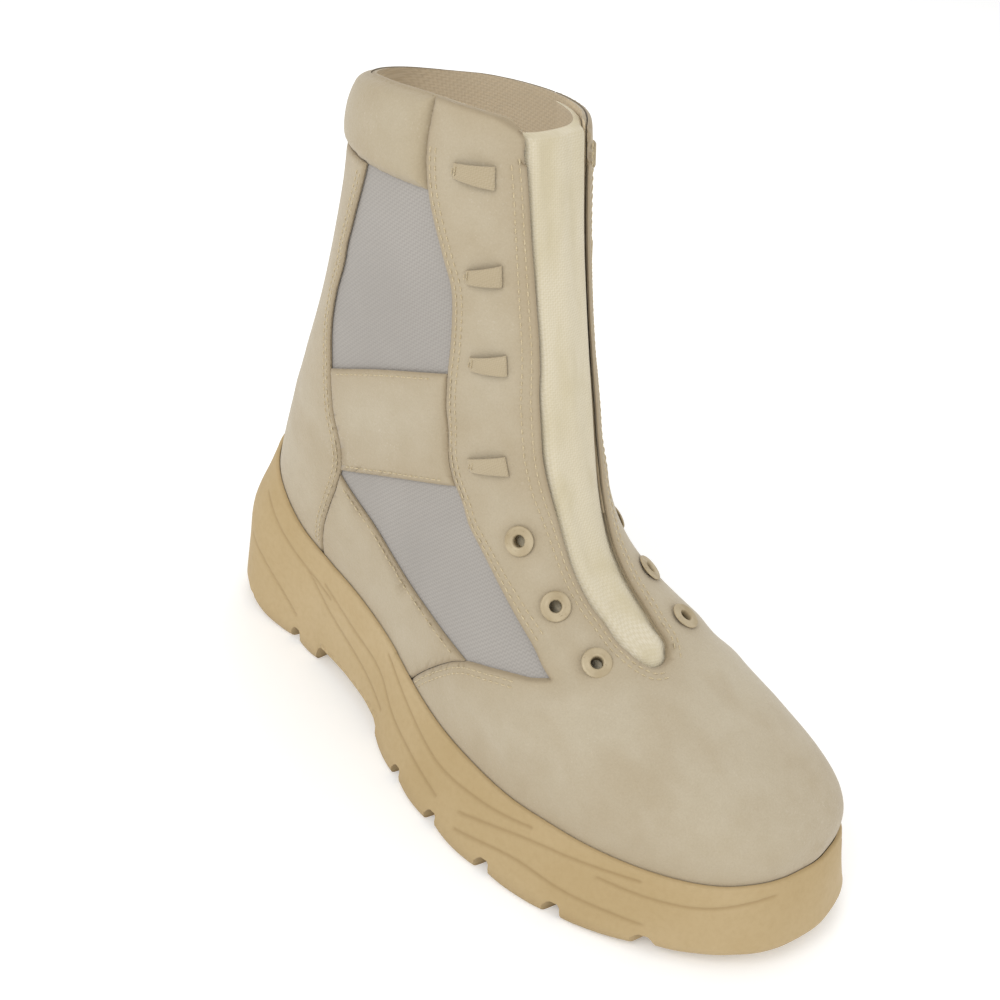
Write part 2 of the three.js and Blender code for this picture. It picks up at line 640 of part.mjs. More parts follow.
function groove(at, sideSign) {
  const geometry = new THREE.BoxGeometry(GROOVE_WIDTH, GROOVE_LENGTH, 2 * GROOVE_DEPTH);
  geometry.rotateZ(THREE.MathUtils.degToRad(sideSign * 12));
  const x = at * UPPER_LENGTH;
  const toe = Math.max(at - 0.85, 0) * 4.86 * TOE_SPRING;
  const aside = at > 0.85 ? 0.077 - sideSign * 0.131 : 0.022;
  const y = (sideSign * (at < 0.2 ? 0.36 : 0.5) + aside) * BALL_WIDTH;
  geometry.translate(x, y, toe);
  return solidOfGeometry(geometry);
}

const cavity = lastForm(FIT).add(
  lastForm(FIT + LEATHER + FIT).intersect(overFoot(FEATHER - FIT)),
);
const treadCuts = [-1, 1].flatMap((sideSign) => GROOVES.map((at) => groove(at, sideSign)));
const outsole = treadCuts.reduce((solid, cut) => solid.subtract(cut), soleBlock().subtract(cavity));

function meshOf(name, solid, material) {
  const { vertProperties, triVerts } = solid.getMesh();
  const geometry = new THREE.BufferGeometry();
  geometry.setAttribute("position", new THREE.BufferAttribute(new Float32Array(vertProperties), 3));
  geometry.setIndex(new THREE.BufferAttribute(new Uint32Array(triVerts), 1));
  geometry.computeVertexNormals();
  const mesh = new THREE.Mesh(geometry, material);
  mesh.name = name;
  return mesh;
}

const surface = (color, roughness, metalness = 0) =>
  new THREE.MeshStandardMaterial({ color, roughness, metalness });
const rubber = surface(0xc1ab82, 0.75);
const leather = surface(0xc2b59d, 0.85);
const canvas = surface(0xada8a1, 0.95);
const padding = surface(0xc6baa2, 0.9);
const lining = surface(0xdad1ba, 0.95);
const footbed = surface(0x9a8a72, 0.95);
const metal = surface(0xb9ae98, 0.45, 0.6);

const centreY = (solid) => (solid.boundingBox().min[1] + solid.boundingBox().max[1]) / 2;
const sideOf = (solid) => (centreY(solid) < 0 ? "outer" : "inner");
const paired = (name, solids) => solids.map((solid) => [`${name}_${sideOf(solid)}`, solid]);

const boot = new THREE.Group();
boot.name = "combat_boot";
boot.add(meshOf("outsole", outsole, rubber));
boot.add(meshOf("upper", upper, canvas));
boot.add(meshOf("insole", insole, footbed));
boot.add(meshOf("tongue", tongue, lining));
boot.add(meshOf("vamp_eyestay", vampEyestay, leather));
boot.add(meshOf("counter_backstay", counter, leather));
boot.add(meshOf("collar_cuff", cuff, padding));
for (const [name, solid] of [...paired("ankle_band", ankleBands), ...paired("quarter", quarters)]) {
  boot.add(meshOf(name, solid, leather));
}
for (const seat of eyeletSeats) {
  boot.add(meshOf(seat.name, turned(eyeletProfile, seat), metal));
}
for (const inner of [false, true]) {
  LOOPS.forEach((place, i) => {
    boot.add(meshOf(`lace_loop_${inner ? "inner" : "outer"}_${i + 1}`, loopOn(place, inner), leather));
  });
}

// The origin is under the middle of the boot, on the floor.
const box = new THREE.Box3().setFromObject(boot);
const middle = box.getCenter(new THREE.Vector3());
for (const mesh of boot.children) {
  mesh.geometry.translate(-middle.x, -middle.y, -box.min.z);
}

export default boot;
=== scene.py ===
import math

import bmesh
import bpy
import numpy as np
from mathutils import Matrix, Vector
from mathutils.bvhtree import BVHTree
from mathutils.kdtree import KDTree

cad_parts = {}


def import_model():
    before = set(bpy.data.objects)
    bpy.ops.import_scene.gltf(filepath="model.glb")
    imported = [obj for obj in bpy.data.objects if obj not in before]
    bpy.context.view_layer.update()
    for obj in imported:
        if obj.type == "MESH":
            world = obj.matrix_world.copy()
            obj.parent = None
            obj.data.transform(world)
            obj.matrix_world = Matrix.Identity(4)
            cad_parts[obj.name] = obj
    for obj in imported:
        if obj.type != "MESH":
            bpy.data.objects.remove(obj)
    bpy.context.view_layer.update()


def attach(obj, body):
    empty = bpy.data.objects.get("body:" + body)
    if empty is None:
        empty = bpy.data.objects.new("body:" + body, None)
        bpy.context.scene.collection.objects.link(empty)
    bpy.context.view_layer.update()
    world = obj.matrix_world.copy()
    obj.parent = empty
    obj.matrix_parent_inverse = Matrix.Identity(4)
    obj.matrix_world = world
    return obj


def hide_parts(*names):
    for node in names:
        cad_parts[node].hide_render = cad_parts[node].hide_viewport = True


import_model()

# The last, in millimetres, with the same named sizes and sections as the solids. X runs from heel to toe,
# Y to the inner side of the foot and Z up from the floor. MIDDLE is the point that the solids have over
# their origin.
UPPER_LENGTH = 284
BALL_WIDTH = 91.4
COLLAR_WIDTH = 74.4
INSTEP_HEIGHT = 124
SHAFT_HEIGHT = 266
COLLAR_LEAN = 5.5
FOREFOOT_THICKNESS = 22.5
HEEL_THICKNESS = 34.5
TOE_SPRING = 7
MIDDLE = np.array([138.417, -0.588, 0])

TEXTILE = 1.6
LEATHER = 1.6
CUFF = 3
TONGUE = 3
TONGUE_RISE = 2.4
INSOLE = 4
LASTING_MARGIN = 10
FEATHER = 7
TOE_FEATHER = 36
FIT = 0.3
SEAM = 0.3
TONGUE_OVERLAP = 9
TONGUE_TOP = 262
TONGUE_FOOT = 12
LOOP_WIDE = 8
LOOP_NARROW = 5
LOOP_RISE = 1.5
LOOP_STRAP = 1
RIM_HEIGHT = 86
WAIST_LIFT = 10
SOLE_FLARE = 12.5
LIP = 2.2
EYELET_HOLE = 3.3
GROOVE_WIDTH = 6.5
GROOVE_DEPTH = 6.5
GROOVE_LENGTH = 56
GROOVE_TURN = 12
FLOW_DEPTH = 0.45
FLOW_WIDTH = 0.75
STITCH_INSETS = (2.2, 4.4)
# The sole's spine: its middle at the heel and at the toe, and where the walls turn round each end.
SPINE_HEEL = 0.041 * COLLAR_WIDTH
SPINE_TOE = 0.076 * BALL_WIDTH
HEEL_TURN = 0.107 * UPPER_LENGTH
TOE_TURN = 0.874 * UPPER_LENGTH
# How far the painted shade by seams and by the sole's rim reaches over the leather, in millimetres.
SEAM_FADE = 7.5
FOOT_FADE = 13
# A layer's edge is where its faces turn by more than this, in radians, with a mark every so many millimetres.
SHARP_ANGLE = 0.7
MARK_STEP = 0.5

# under, spring, heel, top, up, half, centre, ridge, low, base, crown
FOOT_SECTIONS = [
    (1.005, 2.9, 0, 1.005, 0.19, 0.016, 0.17, 0, 0.5, 2, 2),
    (1.001, 2.3, 0, 1.001, 0.212, 0.08, 0.17, 0, 0.5, 2.2, 2.2),
    (0.993, 1.7, 0, 0.994, 0.254, 0.19, 0.165, 0, 0.46, 2.5, 2.3),
    (0.977, 1.15, 0, 0.977, 0.295, 0.285, 0.15, 0.01, 0.42, 3, 2.3),
    (0.95, 0.75, 0, 0.951, 0.341, 0.358, 0.125, 0.02, 0.38, 3.4, 2.4),
    (0.909, 0.43, 0, 0.908, 0.392, 0.415, 0.095, 0.035, 0.36, 3.8, 2.45),
    (0.855, 0.19, 0, 0.853, 0.442, 0.458, 0.062, 0.055, 0.33, 4.4, 2.5),
    (0.794, 0.05, 0, 0.792, 0.494, 0.488, 0.034, 0.07, 0.31, 4.8, 2.55),
    (0.73, 0, 0, 0.733, 0.545, 0.5, 0.016, 0.08, 0.29, 5, 2.55),
    (0.663, 0, 0, 0.683, 0.598, 0.504, -0.001, 0.078, 0.28, 5, 2.5),
    (0.585, 0, 0.04, 0.636, 0.658, 0.486, -0.006, 0.07, 0.27, 5, 2.4),
    (0.497, 0, 0.167, 0.602, 0.732, 0.451, -0.012, 0.054, 0.27, 4.8, 2.4),
    (0.405, 0, 0.375, 0.58, 0.812, 0.408, -0.004, 0.035, 0.29, 4.4, 2.45),
    (0.314, 0, 0.667, 0.562, 0.896, 0.37, 0.013, 0.02, 0.33, 4, 2.5),
    (0.216, 0, 0.9, 0.547, 0.973, 0.352, 0.032, 0.01, 0.38, 3.4, 2.6),
]
# under, rise, top, up, half, centre, ridge, low, base, crown
SHAFT_SECTIONS = [
    (0.12, 0, 0.533, 0.065, 0.412, 0.041, 0.01, 0.43, 3, 2.65),
    (0.042, 0.02, 0.521, 0.156, 0.412, 0.041, 0.01, 0.45, 2.9, 2.7),
    (-0.003, 0.068, 0.509, 0.247, 0.407, 0.041, 0.01, 0.46, 2.8, 2.7),
    (-0.016, 0.147, 0.499, 0.337, 0.407, 0.041, 0, 0.46, 2.6, 2.65),
    (0.013, 0.34, 0.477, 0.51, 0.419, 0.036, 0, 0.47, 2.3, 2.55),
    (0.061, 0.56, 0.454, 0.7, 0.436, 0.031, 0, 0.48, 2.15, 2.5),
    (0.091, 0.76, 0.436, 0.87, 0.447, 0.029, 0, 0.48, 2.1, 2.5),
    (0.096, 0.875, 0.427, 0.96, 0.436, 0.028, 0, 0.48, 2.1, 2.5),
    (0.108, 0.95, 0.42, 1.02, 0.408, 0.028, 0, 0.48, 2.1, 2.6),
    (0.135, 1.02, 0.413, 1.09, 0.37, 0.028, 0, 0.48, 2.1, 2.7),
]

# Seams seen from the side: shares of UPPER_LENGTH and SHAFT_HEIGHT.
FACING_SEAM = [
    (0.305, 1.08), (0.313, 0.962), (0.321, 0.909), (0.334, 0.864), (0.356, 0.808), (0.373, 0.762),
    (0.379, 0.693),
    (0.381, 0.62), (0.393, 0.542), (0.42, 0.478), (0.464, 0.428), (0.554, 0.374), (0.661, 0.309),
]
VAMP_SEAM = [(0.636, 0.298), (0.584, 0.281), (0.523, 0.253), (0.471, 0.202), (0.425, 0.139), (0.381, 0.04)]
COUNTER_SEAM = [
    (0.21, 0.93), (0.207, 0.876), (0.185, 0.79), (0.161, 0.692), (0.15, 0.622), (0.158, 0.55), (0.171, 0.474),
    (0.189, 0.43), (0.197, 0.385), (0.192, 0.345), (0.178, 0.295), (0.163, 0.22), (0.156, 0.04),
]
CUFF_SEAM = [(-0.065, 0.874), (0.171, 0.882), (0.264, 0.886), (0.356, 0.892)]
BAND_TOP_SEAM = [(0.089, 0.506), (0.162, 0.541), (0.282, 0.599), (0.459, 0.67)]
BAND_FOOT_SEAM = [(0.089, 0.334), (0.2, 0.379), (0.318, 0.433), (0.5, 0.508)]
QUARTER_SEAM = [
    (0.11, 0.424), (0.201, 0.366), (0.261, 0.334), (0.34, 0.292), (0.415, 0.27), (0.529, 0.258),
    (0.664, 0.25),
]
COLLAR_EDGE = [
    (-0.116, 0.964), (0.1, 0.971), (0.2, 0.987), (0.3, 0.999), (0.38, 1.001), (0.406, 0.994), (0.42, 0.98),
    (0.441, 0.94), (0.602, 0.94),
]
# x, z, half and centre of the throat
THROAT = [
    (0.366, 1.06, 17.5, 2), (0.42, 0.989, 16.5, 2), (0.444, 0.887, 15, 2), (0.483, 0.728, 13.5, 2),
    (0.515, 0.57, 14, 1.5), (0.572, 0.468, 12.5, 1), (0.649, 0.381, 11, 0.5), (0.705, 0.35, 9.5, 0),
    (0.726, 0.342, 8, 0), (0.74, 0.336, 5, 0), (0.745, 0.334, 2, 0),
]
# Eyelets seen from above: x and how far across, on the outer and on the inner side
EYELETS = [
    ((0.694, 0.225), (0.706, 0.095)), ((0.611, 0.228), (0.628, 0.165)), ((0.537, 0.232), (0.545, 0.265)),
]
LOOPS = [(0.437, 0.521, 0.487, 0.541), (0.41, 0.67, 0.456, 0.683), (0.39, 0.793, 0.429, 0.806),
         (0.357, 0.931, 0.402, 0.934)]
# spine, turn, rim, lift, outer, inner and swell of the sole's wall
SOLE_STATIONS = [
    (0.107, 180, 1, 0.65, 1, 0.88, 0.85), (0.107, 157, 0.955, 0.55, 1, 0.8, 0.85),
    (0.107, 135, 0.852, 0.5, 0.76, 0.64, 0.8), (0.107, 112, 0.744, 0.15, 0.496, 0.44, 0.65),
    (0.107, 90, 0.668, 0, 0.28, 0.36, 0.5), (0.15, 90, 0.616, 0, 0.24, 0.36, 0.45),
    (0.192, 90, 0.587, 0, 0.32, 0.36, 0.45), (0.199, 90, 0.584, 0, 0.32, 0.32, 0.45),
    (0.274, 90, 0.564, 0, 0.32, 0.24, 0.45),
    (0.336, 90, 0.535, 0, 0.36, 0.24, 0.45), (0.382, 90, 0.505, 0, 0.48, 0.28, 0.45),
    (0.391, 90, 0.494, 0, 0.52, 0.32, 0.45), (0.459, 90, 0.43, 0, 0.72, 0.4, 0.45),
    (0.525, 90, 0.39, 0, 0.84, 0.48, 0.45), (0.592, 90, 0.372, 0, 0.88, 0.52, 0.45),
    (0.664, 90, 0.372, 0, 0.8, 0.52, 0.45), (0.731, 90, 0.378, 0, 0.72, 0.52, 0.45),
    (0.792, 90, 0.39, 0, 0.6, 0.52, 0.45), (0.854, 90, 0.401, 0.14, 0.42, 0.52, 0.45),
    (0.874, 72, 0.419, 0.42, 0.28, 0.52, 0.45), (0.874, 54, 0.436, 0.62, 0.22, 0.52, 0.45),
    (0.874, 36, 0.454, 0.74, 0.26, 0.52, 0.45), (0.874, 18, 0.46, 0.8, 0.4, 0.52, 0.45),
    (0.874, 0, 0.46, 0.8, 0.48, 0.48, 0.45),
]
SOLE_TABLE = np.array(SOLE_STATIONS)
# The waist between the heel and the forefoot lugs: shares of UPPER_LENGTH and heights.
WAIST = [
    (0.1915, -5), (0.1935, 3), (0.1965, 7.4), (0.204, 9.2), (0.274, 10), (0.336, 9.5), (0.374, 8.2),
    (0.385, 6.2), (0.389, 3), (0.391, -5),
]
# Flow lines moulded in the sole's wall: shares of UPPER_LENGTH and heights.
FLOW_LINES = [
    [(0.016, 60), (0.071, 49), (0.133, 41), (0.207, 35.7)], [(-0.006, 35.4), (0.06, 26), (0.129, 13)],
    [(0.142, 39.7), (0.214, 29), (0.311, 22), (0.387, 15.5)],
    [(0.188, 39.9), (0.266, 33.8), (0.358, 29.4), (0.427, 19.3), (0.558, 12)],
    [(0.373, 40), (0.452, 29.4), (0.543, 22.3), (0.63, 23.7), (0.717, 27.9)],
    [(0.608, 14.2), (0.692, 21.4), (0.791, 26.8), (0.875, 30.4)],
    [(0.612, 8), (0.706, 13.3), (0.801, 12.5), (0.893, 12.8)],
    [(0.825, 24.4), (0.891, 25), (0.951, 27.6), (1.004, 34)],
]
GROOVES = [0.017, 0.135, 0.475, 0.576, 0.685, 0.793, 0.91]


# The last's skin.

def sections():
    """Rows of underX, topX, half width, middle, lean, low, base, crown, underZ and topZ."""
    rows = []
    level = FOREFOOT_THICKNESS + INSTEP_HEIGHT
    for under, spring, heel, top, up, half, centre, ridge, low, base, crown in FOOT_SECTIONS:
        under_z = FOREFOOT_THICKNESS + spring * TOE_SPRING + heel * (HEEL_THICKNESS - FOREFOOT_THICKNESS)
        rows.append((under * UPPER_LENGTH, top * UPPER_LENGTH, half * BALL_WIDTH, centre * BALL_WIDTH,
                     ridge * BALL_WIDTH, low, base, crown, under_z, FOREFOOT_THICKNESS + up * INSTEP_HEIGHT))
    for under, rise, top, up, half, centre, ridge, low, base, crown in SHAFT_SECTIONS:
        rows.append((under * UPPER_LENGTH, top * UPPER_LENGTH, half * COLLAR_WIDTH, centre * COLLAR_WIDTH,
                     ridge * COLLAR_WIDTH, low, base, crown,
                     HEEL_THICKNESS + rise * (SHAFT_HEIGHT - HEEL_THICKNESS),
                     level + up * (SHAFT_HEIGHT - level)))
    return np.array(rows)


SECTIONS = sections()
LAST_SECTION = len(SECTIONS) - 1


def along_rows(rows, r):
    """Catmull-Rom through the rows of a table at row numbers r."""
    rows = np.asarray(rows, float)
    r = np.asarray(r, float)
    i = np.clip(np.floor(r).astype(int), 0, len(rows) - 2)
    a, b, c, d = (rows[np.clip(i + k, 0, len(rows) - 1)] for k in (-1, 0, 1, 2))
    t = (r - i)[..., None]
    return b + 0.5 * t * (c - a + t * (2 * a - 5 * b + 4 * c - d + t * (3 * (b - c) + d - a)))


def skin(v, u):
    """Points of the last at sections v and turns u.

    Turn 0 is its under or back line, 0.25 its outer side and 0.5 its front.
    """
    v, u = np.broadcast_arrays(np.asarray(v, float), np.asarray(u, float))
    row = np.moveaxis(along_rows(SECTIONS, v), -1, 0)
    under_x, top_x, half, middle, lean, low, base, crown, under_z, top_z = row
    cos, sin = np.cos(2 * np.pi * u), np.sin(2 * np.pi * u)
    power = 2 / np.where(cos > 0, base, crown)
    size = np.abs(cos) ** power
    up = np.where(cos > 0, low * (1 - size), low + (1 - low) * size)
    side = -np.sign(sin) * np.abs(sin) ** power
    return np.stack([under_x + (top_x - under_x) * up, middle + side * half + up * up * lean,
                     under_z + (top_z - under_z) * up], -1)


def skin_normal(v, u):
    along = skin(np.minimum(v + 0.02, LAST_SECTION), u) - skin(np.maximum(v - 0.02, 0), u)
    around = skin(v, u + 0.004) - skin(v, u - 0.004)
    normal = np.cross(around, along)
    return normal / np.linalg.norm(normal, axis=-1, keepdims=True)


def even_rows(count):
    """Section numbers that lie about evenly along the last's skin."""
    fine = np.linspace(0, LAST_SECTION, 1201)
    points = skin(fine[:, None], np.array([0.08, 0.25, 0.42, 0.5])[None, :])
    steps = np.linalg.norm(np.diff(points, axis=0), axis=-1).mean(1) + 0.02
    length = np.concatenate([[0], np.cumsum(steps)])
    return np.interp(np.linspace(0, length[-1], count), length, fine)


ROWS = even_rows(230)
TURNS = (np.arange(152) + 0.5) / 152
GRID_V, GRID_U = np.meshgrid(ROWS, TURNS, indexing="ij")
GRID_SKIN = skin(GRID_V, GRID_U)
GRID_NORMAL = skin_normal(GRID_V, GRID_U)

# Soft creases pressed into every layer: section and turn of each one's ends and middle, depth and half width.
CREASES = [
    ((8.3, 0.33), (7.6, 0.5), (8.6, 0.66), 1.3, 5.5),
    ((9.6, 0.32), (9.0, 0.4), (8.9, 0.5), 1.0, 4.5),
    ((6.6, 0.36), (6.3, 0.48), (7.0, 0.62), 0.9, 6.5),
    ((15.2, 0.27), (14.6, 0.36), (14.9, 0.43), 0.9, 5.0),
    ((17.6, 0.22), (17.0, 0.31), (17.0, 0.4), 0.7, 5.5),
    ((15.2, 0.73), (14.6, 0.64), (14.9, 0.57), 0.9, 5.0),
    ((17.6, 0.78), (17.0, 0.69), (17.0, 0.6), 0.7, 5.5),
    ((19.3, 0.08), (19.1, 0.0), (19.3, -0.08), 1.0, 5.0),
    ((20.3, 0.14), (20.1, 0.2), (19.8, 0.27), 0.6, 6.0),
    ((20.3, 0.86), (20.1, 0.8), (19.8, 0.73), 0.6, 6.0),
]


def crease_field():
    field = np.zeros(GRID_V.shape)
    for start, middle, end, depth, width in CREASES:
        t = np.linspace(0, 1, 33)
        (v0, u0), (v1, u1), (v2, u2) = start, middle, end
        bow = 4 * t * (1 - t)
        line = skin(v0 + (v2 - v0) * t + bow * (v1 - (v0 + v2) / 2),
                    u0 + (u2 - u0) * t + bow * (u1 - (u0 + u2) / 2))
        gaps = np.linalg.norm(GRID_SKIN[:, :, None, :] - line, axis=-1)
        nearest = gaps.argmin(-1)
        fade = np.sin(np.pi * np.clip(t[nearest], 0.02, 0.98)) ** 0.8
        q = gaps.min(-1) / width
        field -= depth * fade * (np.exp(-q * q) - 0.35 * np.exp(-((q - 1.9) ** 2) * 1.6))
    return field


CREASE = crease_field()


# Solids, joined and cut in millimetres.

class Solid:
    """A closed mesh that can be cut, kept and joined with others."""

    def __init__(self, points, faces):
        self.mesh = bpy.data.meshes.new("solid")
        self.mesh.from_pydata([tuple(p) for p in np.asarray(points, float).tolist()], [], faces)
        shape = bmesh.new()
        shape.from_mesh(self.mesh)
        if shape.calc_volume(signed=True) < 0:
            bmesh.ops.reverse_faces(shape, faces=shape.faces)
            shape.to_mesh(self.mesh)
        shape.free()

    def _with(self, other, operation):
        mine = bpy.data.objects.new("mine", self.mesh)
        theirs = bpy.data.objects.new("theirs", other.mesh)
        for o in (mine, theirs):
            bpy.context.scene.collection.objects.link(o)
        change = mine.modifiers.new("change", "BOOLEAN")
        change.operation = operation
        change.solver = "MANIFOLD"
        change.object = theirs
        graph = bpy.context.evaluated_depsgraph_get()
        result = Solid.__new__(Solid)
        result.mesh = bpy.data.meshes.new_from_object(mine.evaluated_get(graph))
        for o in (mine, theirs):
            bpy.data.objects.remove(o)
        return result

    def cut(self, other):
        return self._with(other, "DIFFERENCE")

    def keep(self, other):
        return self._with(other, "INTERSECT")

    def join(self, other):
        return self._with(other, "UNION")

    def points(self):
        co = np.zeros(len(self.mesh.vertices) * 3, np.float32)
        self.mesh.vertices.foreach_get("co", co)
        return co.reshape(-1, 3).astype(float)

    def parts(self):
        """The solids of the separate bodies."""
        shape = bmesh.new()
        shape.from_mesh(self.mesh)
        shape.verts.ensure_lookup_table()
        group = np.full(len(shape.verts), -1)
        count = 0
        for seed in shape.verts:
            if group[seed.index] >= 0:
                continue
            group[seed.index] = count
            stack = [seed]
            while stack:
                for edge in stack.pop().link_edges:
                    for vert in edge.verts:
                        if group[vert.index] < 0:
                            group[vert.index] = count
                            stack.append(vert)
            count += 1
        solids = []
        for number in range(count):
            piece = shape.copy()
            piece.verts.ensure_lookup_table()
            others = [v for v in piece.verts if group[v.index] != number]
            bmesh.ops.delete(piece, geom=others, context="VERTS")
            solid = Solid.__new__(Solid)
            solid.mesh = bpy.data.meshes.new("solid")
            piece.to_mesh(solid.mesh)
            piece.free()
            solids.append(solid)
        shape.free()
        return solids


def bands(index, after):
    """Quads between each row of point numbers and the next."""
    return np.stack([index[:-1], after[:-1], after[1:], index[1:]], -1).reshape(-1, 4).tolist()


def through_rings(rings):
    """A closed solid through rings of points, each end closed by a fan to its middle."""
    rings = np.asarray(rings)
    count, n = rings.shape[:2]
    index = np.arange(count * n).reshape(count, n)
    after = np.roll(index, -1, axis=1)
    faces = bands(index, after)
    first, last = count * n, count * n + 1
    faces += [(first, b, a) for a, b in zip(index[0], after[0])]
    faces += [(last, a, b) for a, b in zip(index[-1], after[-1])]
    points = np.concatenate([rings.reshape(-1, 3), [rings[0].mean(0)], [rings[-1].mean(0)]])
    return Solid(points, [tuple(int(k) for k in f) for f in faces])


def form(offset, start=0):
    """The creased last grown by an offset, a number or one for each point of the grid."""
    first = int(np.searchsorted(ROWS, start))
    grown = GRID_SKIN + GRID_NORMAL * (np.broadcast_to(offset, GRID_V.shape) + CREASE)[..., None]
    return through_rings(grown[first:])


def prism(outline, across, up, start, end):
    across, up = np.array(across, float), np.array(up, float)
    normal = np.cross(across, up)
    flat = np.array(outline)[:, :1] * across + np.array(outline)[:, 1:] * up
    n = len(flat)
    points = np.concatenate([flat + normal * start, flat + normal * end])
    faces = [tuple(range(n))[::-1], tuple(range(n, 2 * n))]
    faces += [(i, (i + 1) % n, n + (i + 1) % n, n + i) for i in range(n)]
    return Solid(points, faces)


def from_side(outline):
    return prism(outline, (1, 0, 0), (0, 0, 1), -BALL_WIDTH, BALL_WIDTH)


def in_plane(rows):
    return np.array(rows, float)[:, :2] * (UPPER_LENGTH, SHAFT_HEIGHT)


def curved(line, per=6):
    return along_rows(line, np.linspace(0, len(line) - 1, (len(line) - 1) * per + 1))


def moved(line, distance):
    """A line moved sideways, to its right where distance is positive."""
    step = np.diff(line, axis=0)
    step = step / np.linalg.norm(step, axis=1, keepdims=True)
    before = np.vstack([step[:1], step])
    after = np.vstack([step, step[-1:]])
    along = before + after
    along /= np.linalg.norm(along, axis=1, keepdims=True)
    miter = np.maximum((along * after).sum(1), 0.5)
    return line + np.stack([along[:, 1], -along[:, 0]], 1) * (distance / miter)[:, None]


FAR_BACK, FAR_FRONT, FAR_TOP, FAR_FLOOR = -150, 450, 400, -100


def beside_seam(line, distance, far_x):
    return from_side([*moved(line, distance), (far_x, line[-1][1]), (far_x, line[0][1])])


def behind(seam):
    return beside_seam(seam, SEAM / 2, FAR_BACK)


def before(seam):
    return beside_seam(seam, -SEAM / 2, FAR_FRONT)


def over_under(line, distance, far_z):
    return from_side([(FAR_BACK, far_z), (FAR_BACK, line[0][1]), *moved(line, distance),
                      (FAR_FRONT, line[-1][1]), (FAR_FRONT, far_z)])


def above(seam):
    return over_under(seam, -SEAM / 2, FAR_TOP)


def below(seam):
    return over_under(seam, SEAM / 2, FAR_FLOOR)


facing_line = curved(in_plane(FACING_SEAM))
vamp_line = curved(in_plane(VAMP_SEAM))
facing_seam = np.vstack([facing_line, vamp_line])
counter_seam = curved(in_plane(COUNTER_SEAM))
cuff_seam = curved(in_plane(CUFF_SEAM))
band_top_seam = curved(in_plane(BAND_TOP_SEAM))
band_foot_seam = curved(in_plane(BAND_FOOT_SEAM))
quarter_seam = curved(in_plane(QUARTER_SEAM))
collar_edge = curved(in_plane(COLLAR_EDGE))

under = SECTIONS[1:][SECTIONS[1:, 8] < HEEL_THICKNESS + 1]
foot_line = curved(under[::-1][:, [0, 8]])


def raised(height):
    return foot_line + (0, height)


def over_foot(height):
    return over_under(raised(height), 0, FAR_TOP)


def over_feather(room):
    """Over the leather's lasted edge, which dips under the sole's rim at the toe."""
    line = raised(FEATHER - room)
    toe = line[:, 0] > UPPER_LENGTH / 2
    line[toe, 1] = np.minimum(line[toe, 1], TOE_FEATHER - room)
    return over_under(line, 0, FAR_TOP)


def under_foot(height):
    return over_under(raised(height), 0, FAR_FLOOR)


collar_level = 0.985 * SHAFT_HEIGHT
lean = Matrix.Translation((0, 0, collar_level)) @ Matrix.Rotation(math.radians(-COLLAR_LEAN), 4, "X")
lean = lean @ Matrix.Translation((0, 0, -collar_level))
under_collar = over_under(collar_edge, 0, FAR_FLOOR)
under_collar.mesh.transform(lean)

BEND_UP = np.array([-1, 0, 1]) / math.sqrt(2)
BEND_START = 0.66 * UPPER_LENGTH


def throat_edges():
    x_z = in_plane(THROAT)
    half, centre = np.array(THROAT)[:, 2], np.array(THROAT)[:, 3]
    up = x_z @ BEND_UP[[0, 2]]
    down = np.stack([centre - half, up], 1)
    rise = np.stack([centre + half, up], 1)[::-1]
    return curved(np.vstack([down, rise]))


throat_edge = throat_edges()


def throat_prism(widen):
    return prism(moved(throat_edge, widen), (0, 1, 0), BEND_UP, BEND_START, 2 * UPPER_LENGTH)


# Where things lie on the last.

def from_above(points):
    return points[..., [0, 1]]


def sideways(points):
    return points[..., [0, 2]]


def head_on(points):
    return np.stack([points[..., 1], points @ BEND_UP], -1)


def seat(targets, seen, inner, height=0.0, turns=(0.0, 0.5)):
    """Sections and turns on one side of the last where its grown skin, as seen, is at the targets."""
    targets = np.atleast_2d(np.asarray(targets, float))
    low, high = (1 - turns[1], 1 - turns[0]) if inner else turns
    v_grid, u_grid = np.meshgrid(np.linspace(0, LAST_SECTION, 97), np.linspace(low, high, 41), indexing="ij")
    v_grid, u_grid = v_grid.ravel(), u_grid.ravel()
    views = seen(skin(v_grid, u_grid) + skin_normal(v_grid, u_grid) * height)
    nearest = np.linalg.norm(targets[:, None, :] - views[None], axis=-1).argmin(1)
    v, u = v_grid[nearest], u_grid[nearest]

    def view(v, u):
        return seen(skin(v, u) + skin_normal(v, u) * height)

    for _ in range(8):
        here = view(v, u)
        by_v = (view(np.minimum(v + 0.01, LAST_SECTION), u) - here) / 0.01
        by_u = (view(v, u + 0.001) - here) / 0.001
        miss = targets - here
        det = by_v[:, 0] * by_u[:, 1] - by_v[:, 1] * by_u[:, 0]
        det = np.where(np.abs(det) < 1e-3, 1e-3, det)
        dv = (miss[:, 0] * by_u[:, 1] - miss[:, 1] * by_u[:, 0]) / det
        du = (by_v[:, 0] * miss[:, 1] - by_v[:, 1] * miss[:, 0]) / det
        v = np.clip(v + np.clip(dv, -0.3, 0.3), 0.01, LAST_SECTION - 0.01)
        u = np.clip(u + np.clip(du, -0.02, 0.02), low, high)
    return v, u


def on_grid(field, v, u):
    """A field's values between the points of the grid."""
    row = np.interp(v, ROWS, np.arange(len(ROWS)))
    turn = (np.mod(u, 1) * len(TURNS) - 0.5) % len(TURNS)
    r0 = np.clip(np.floor(row).astype(int), 0, len(ROWS) - 2)
    t0 = np.floor(turn).astype(int) % len(TURNS)
    t1 = (t0 + 1) % len(TURNS)
    a, b = row - r0, turn - np.floor(turn)
    near = field[r0, t0] * (1 - b) + field[r0, t1] * b
    far = field[r0 + 1, t0] * (1 - b) + field[r0 + 1, t1] * b
    return near * (1 - a) + far * a


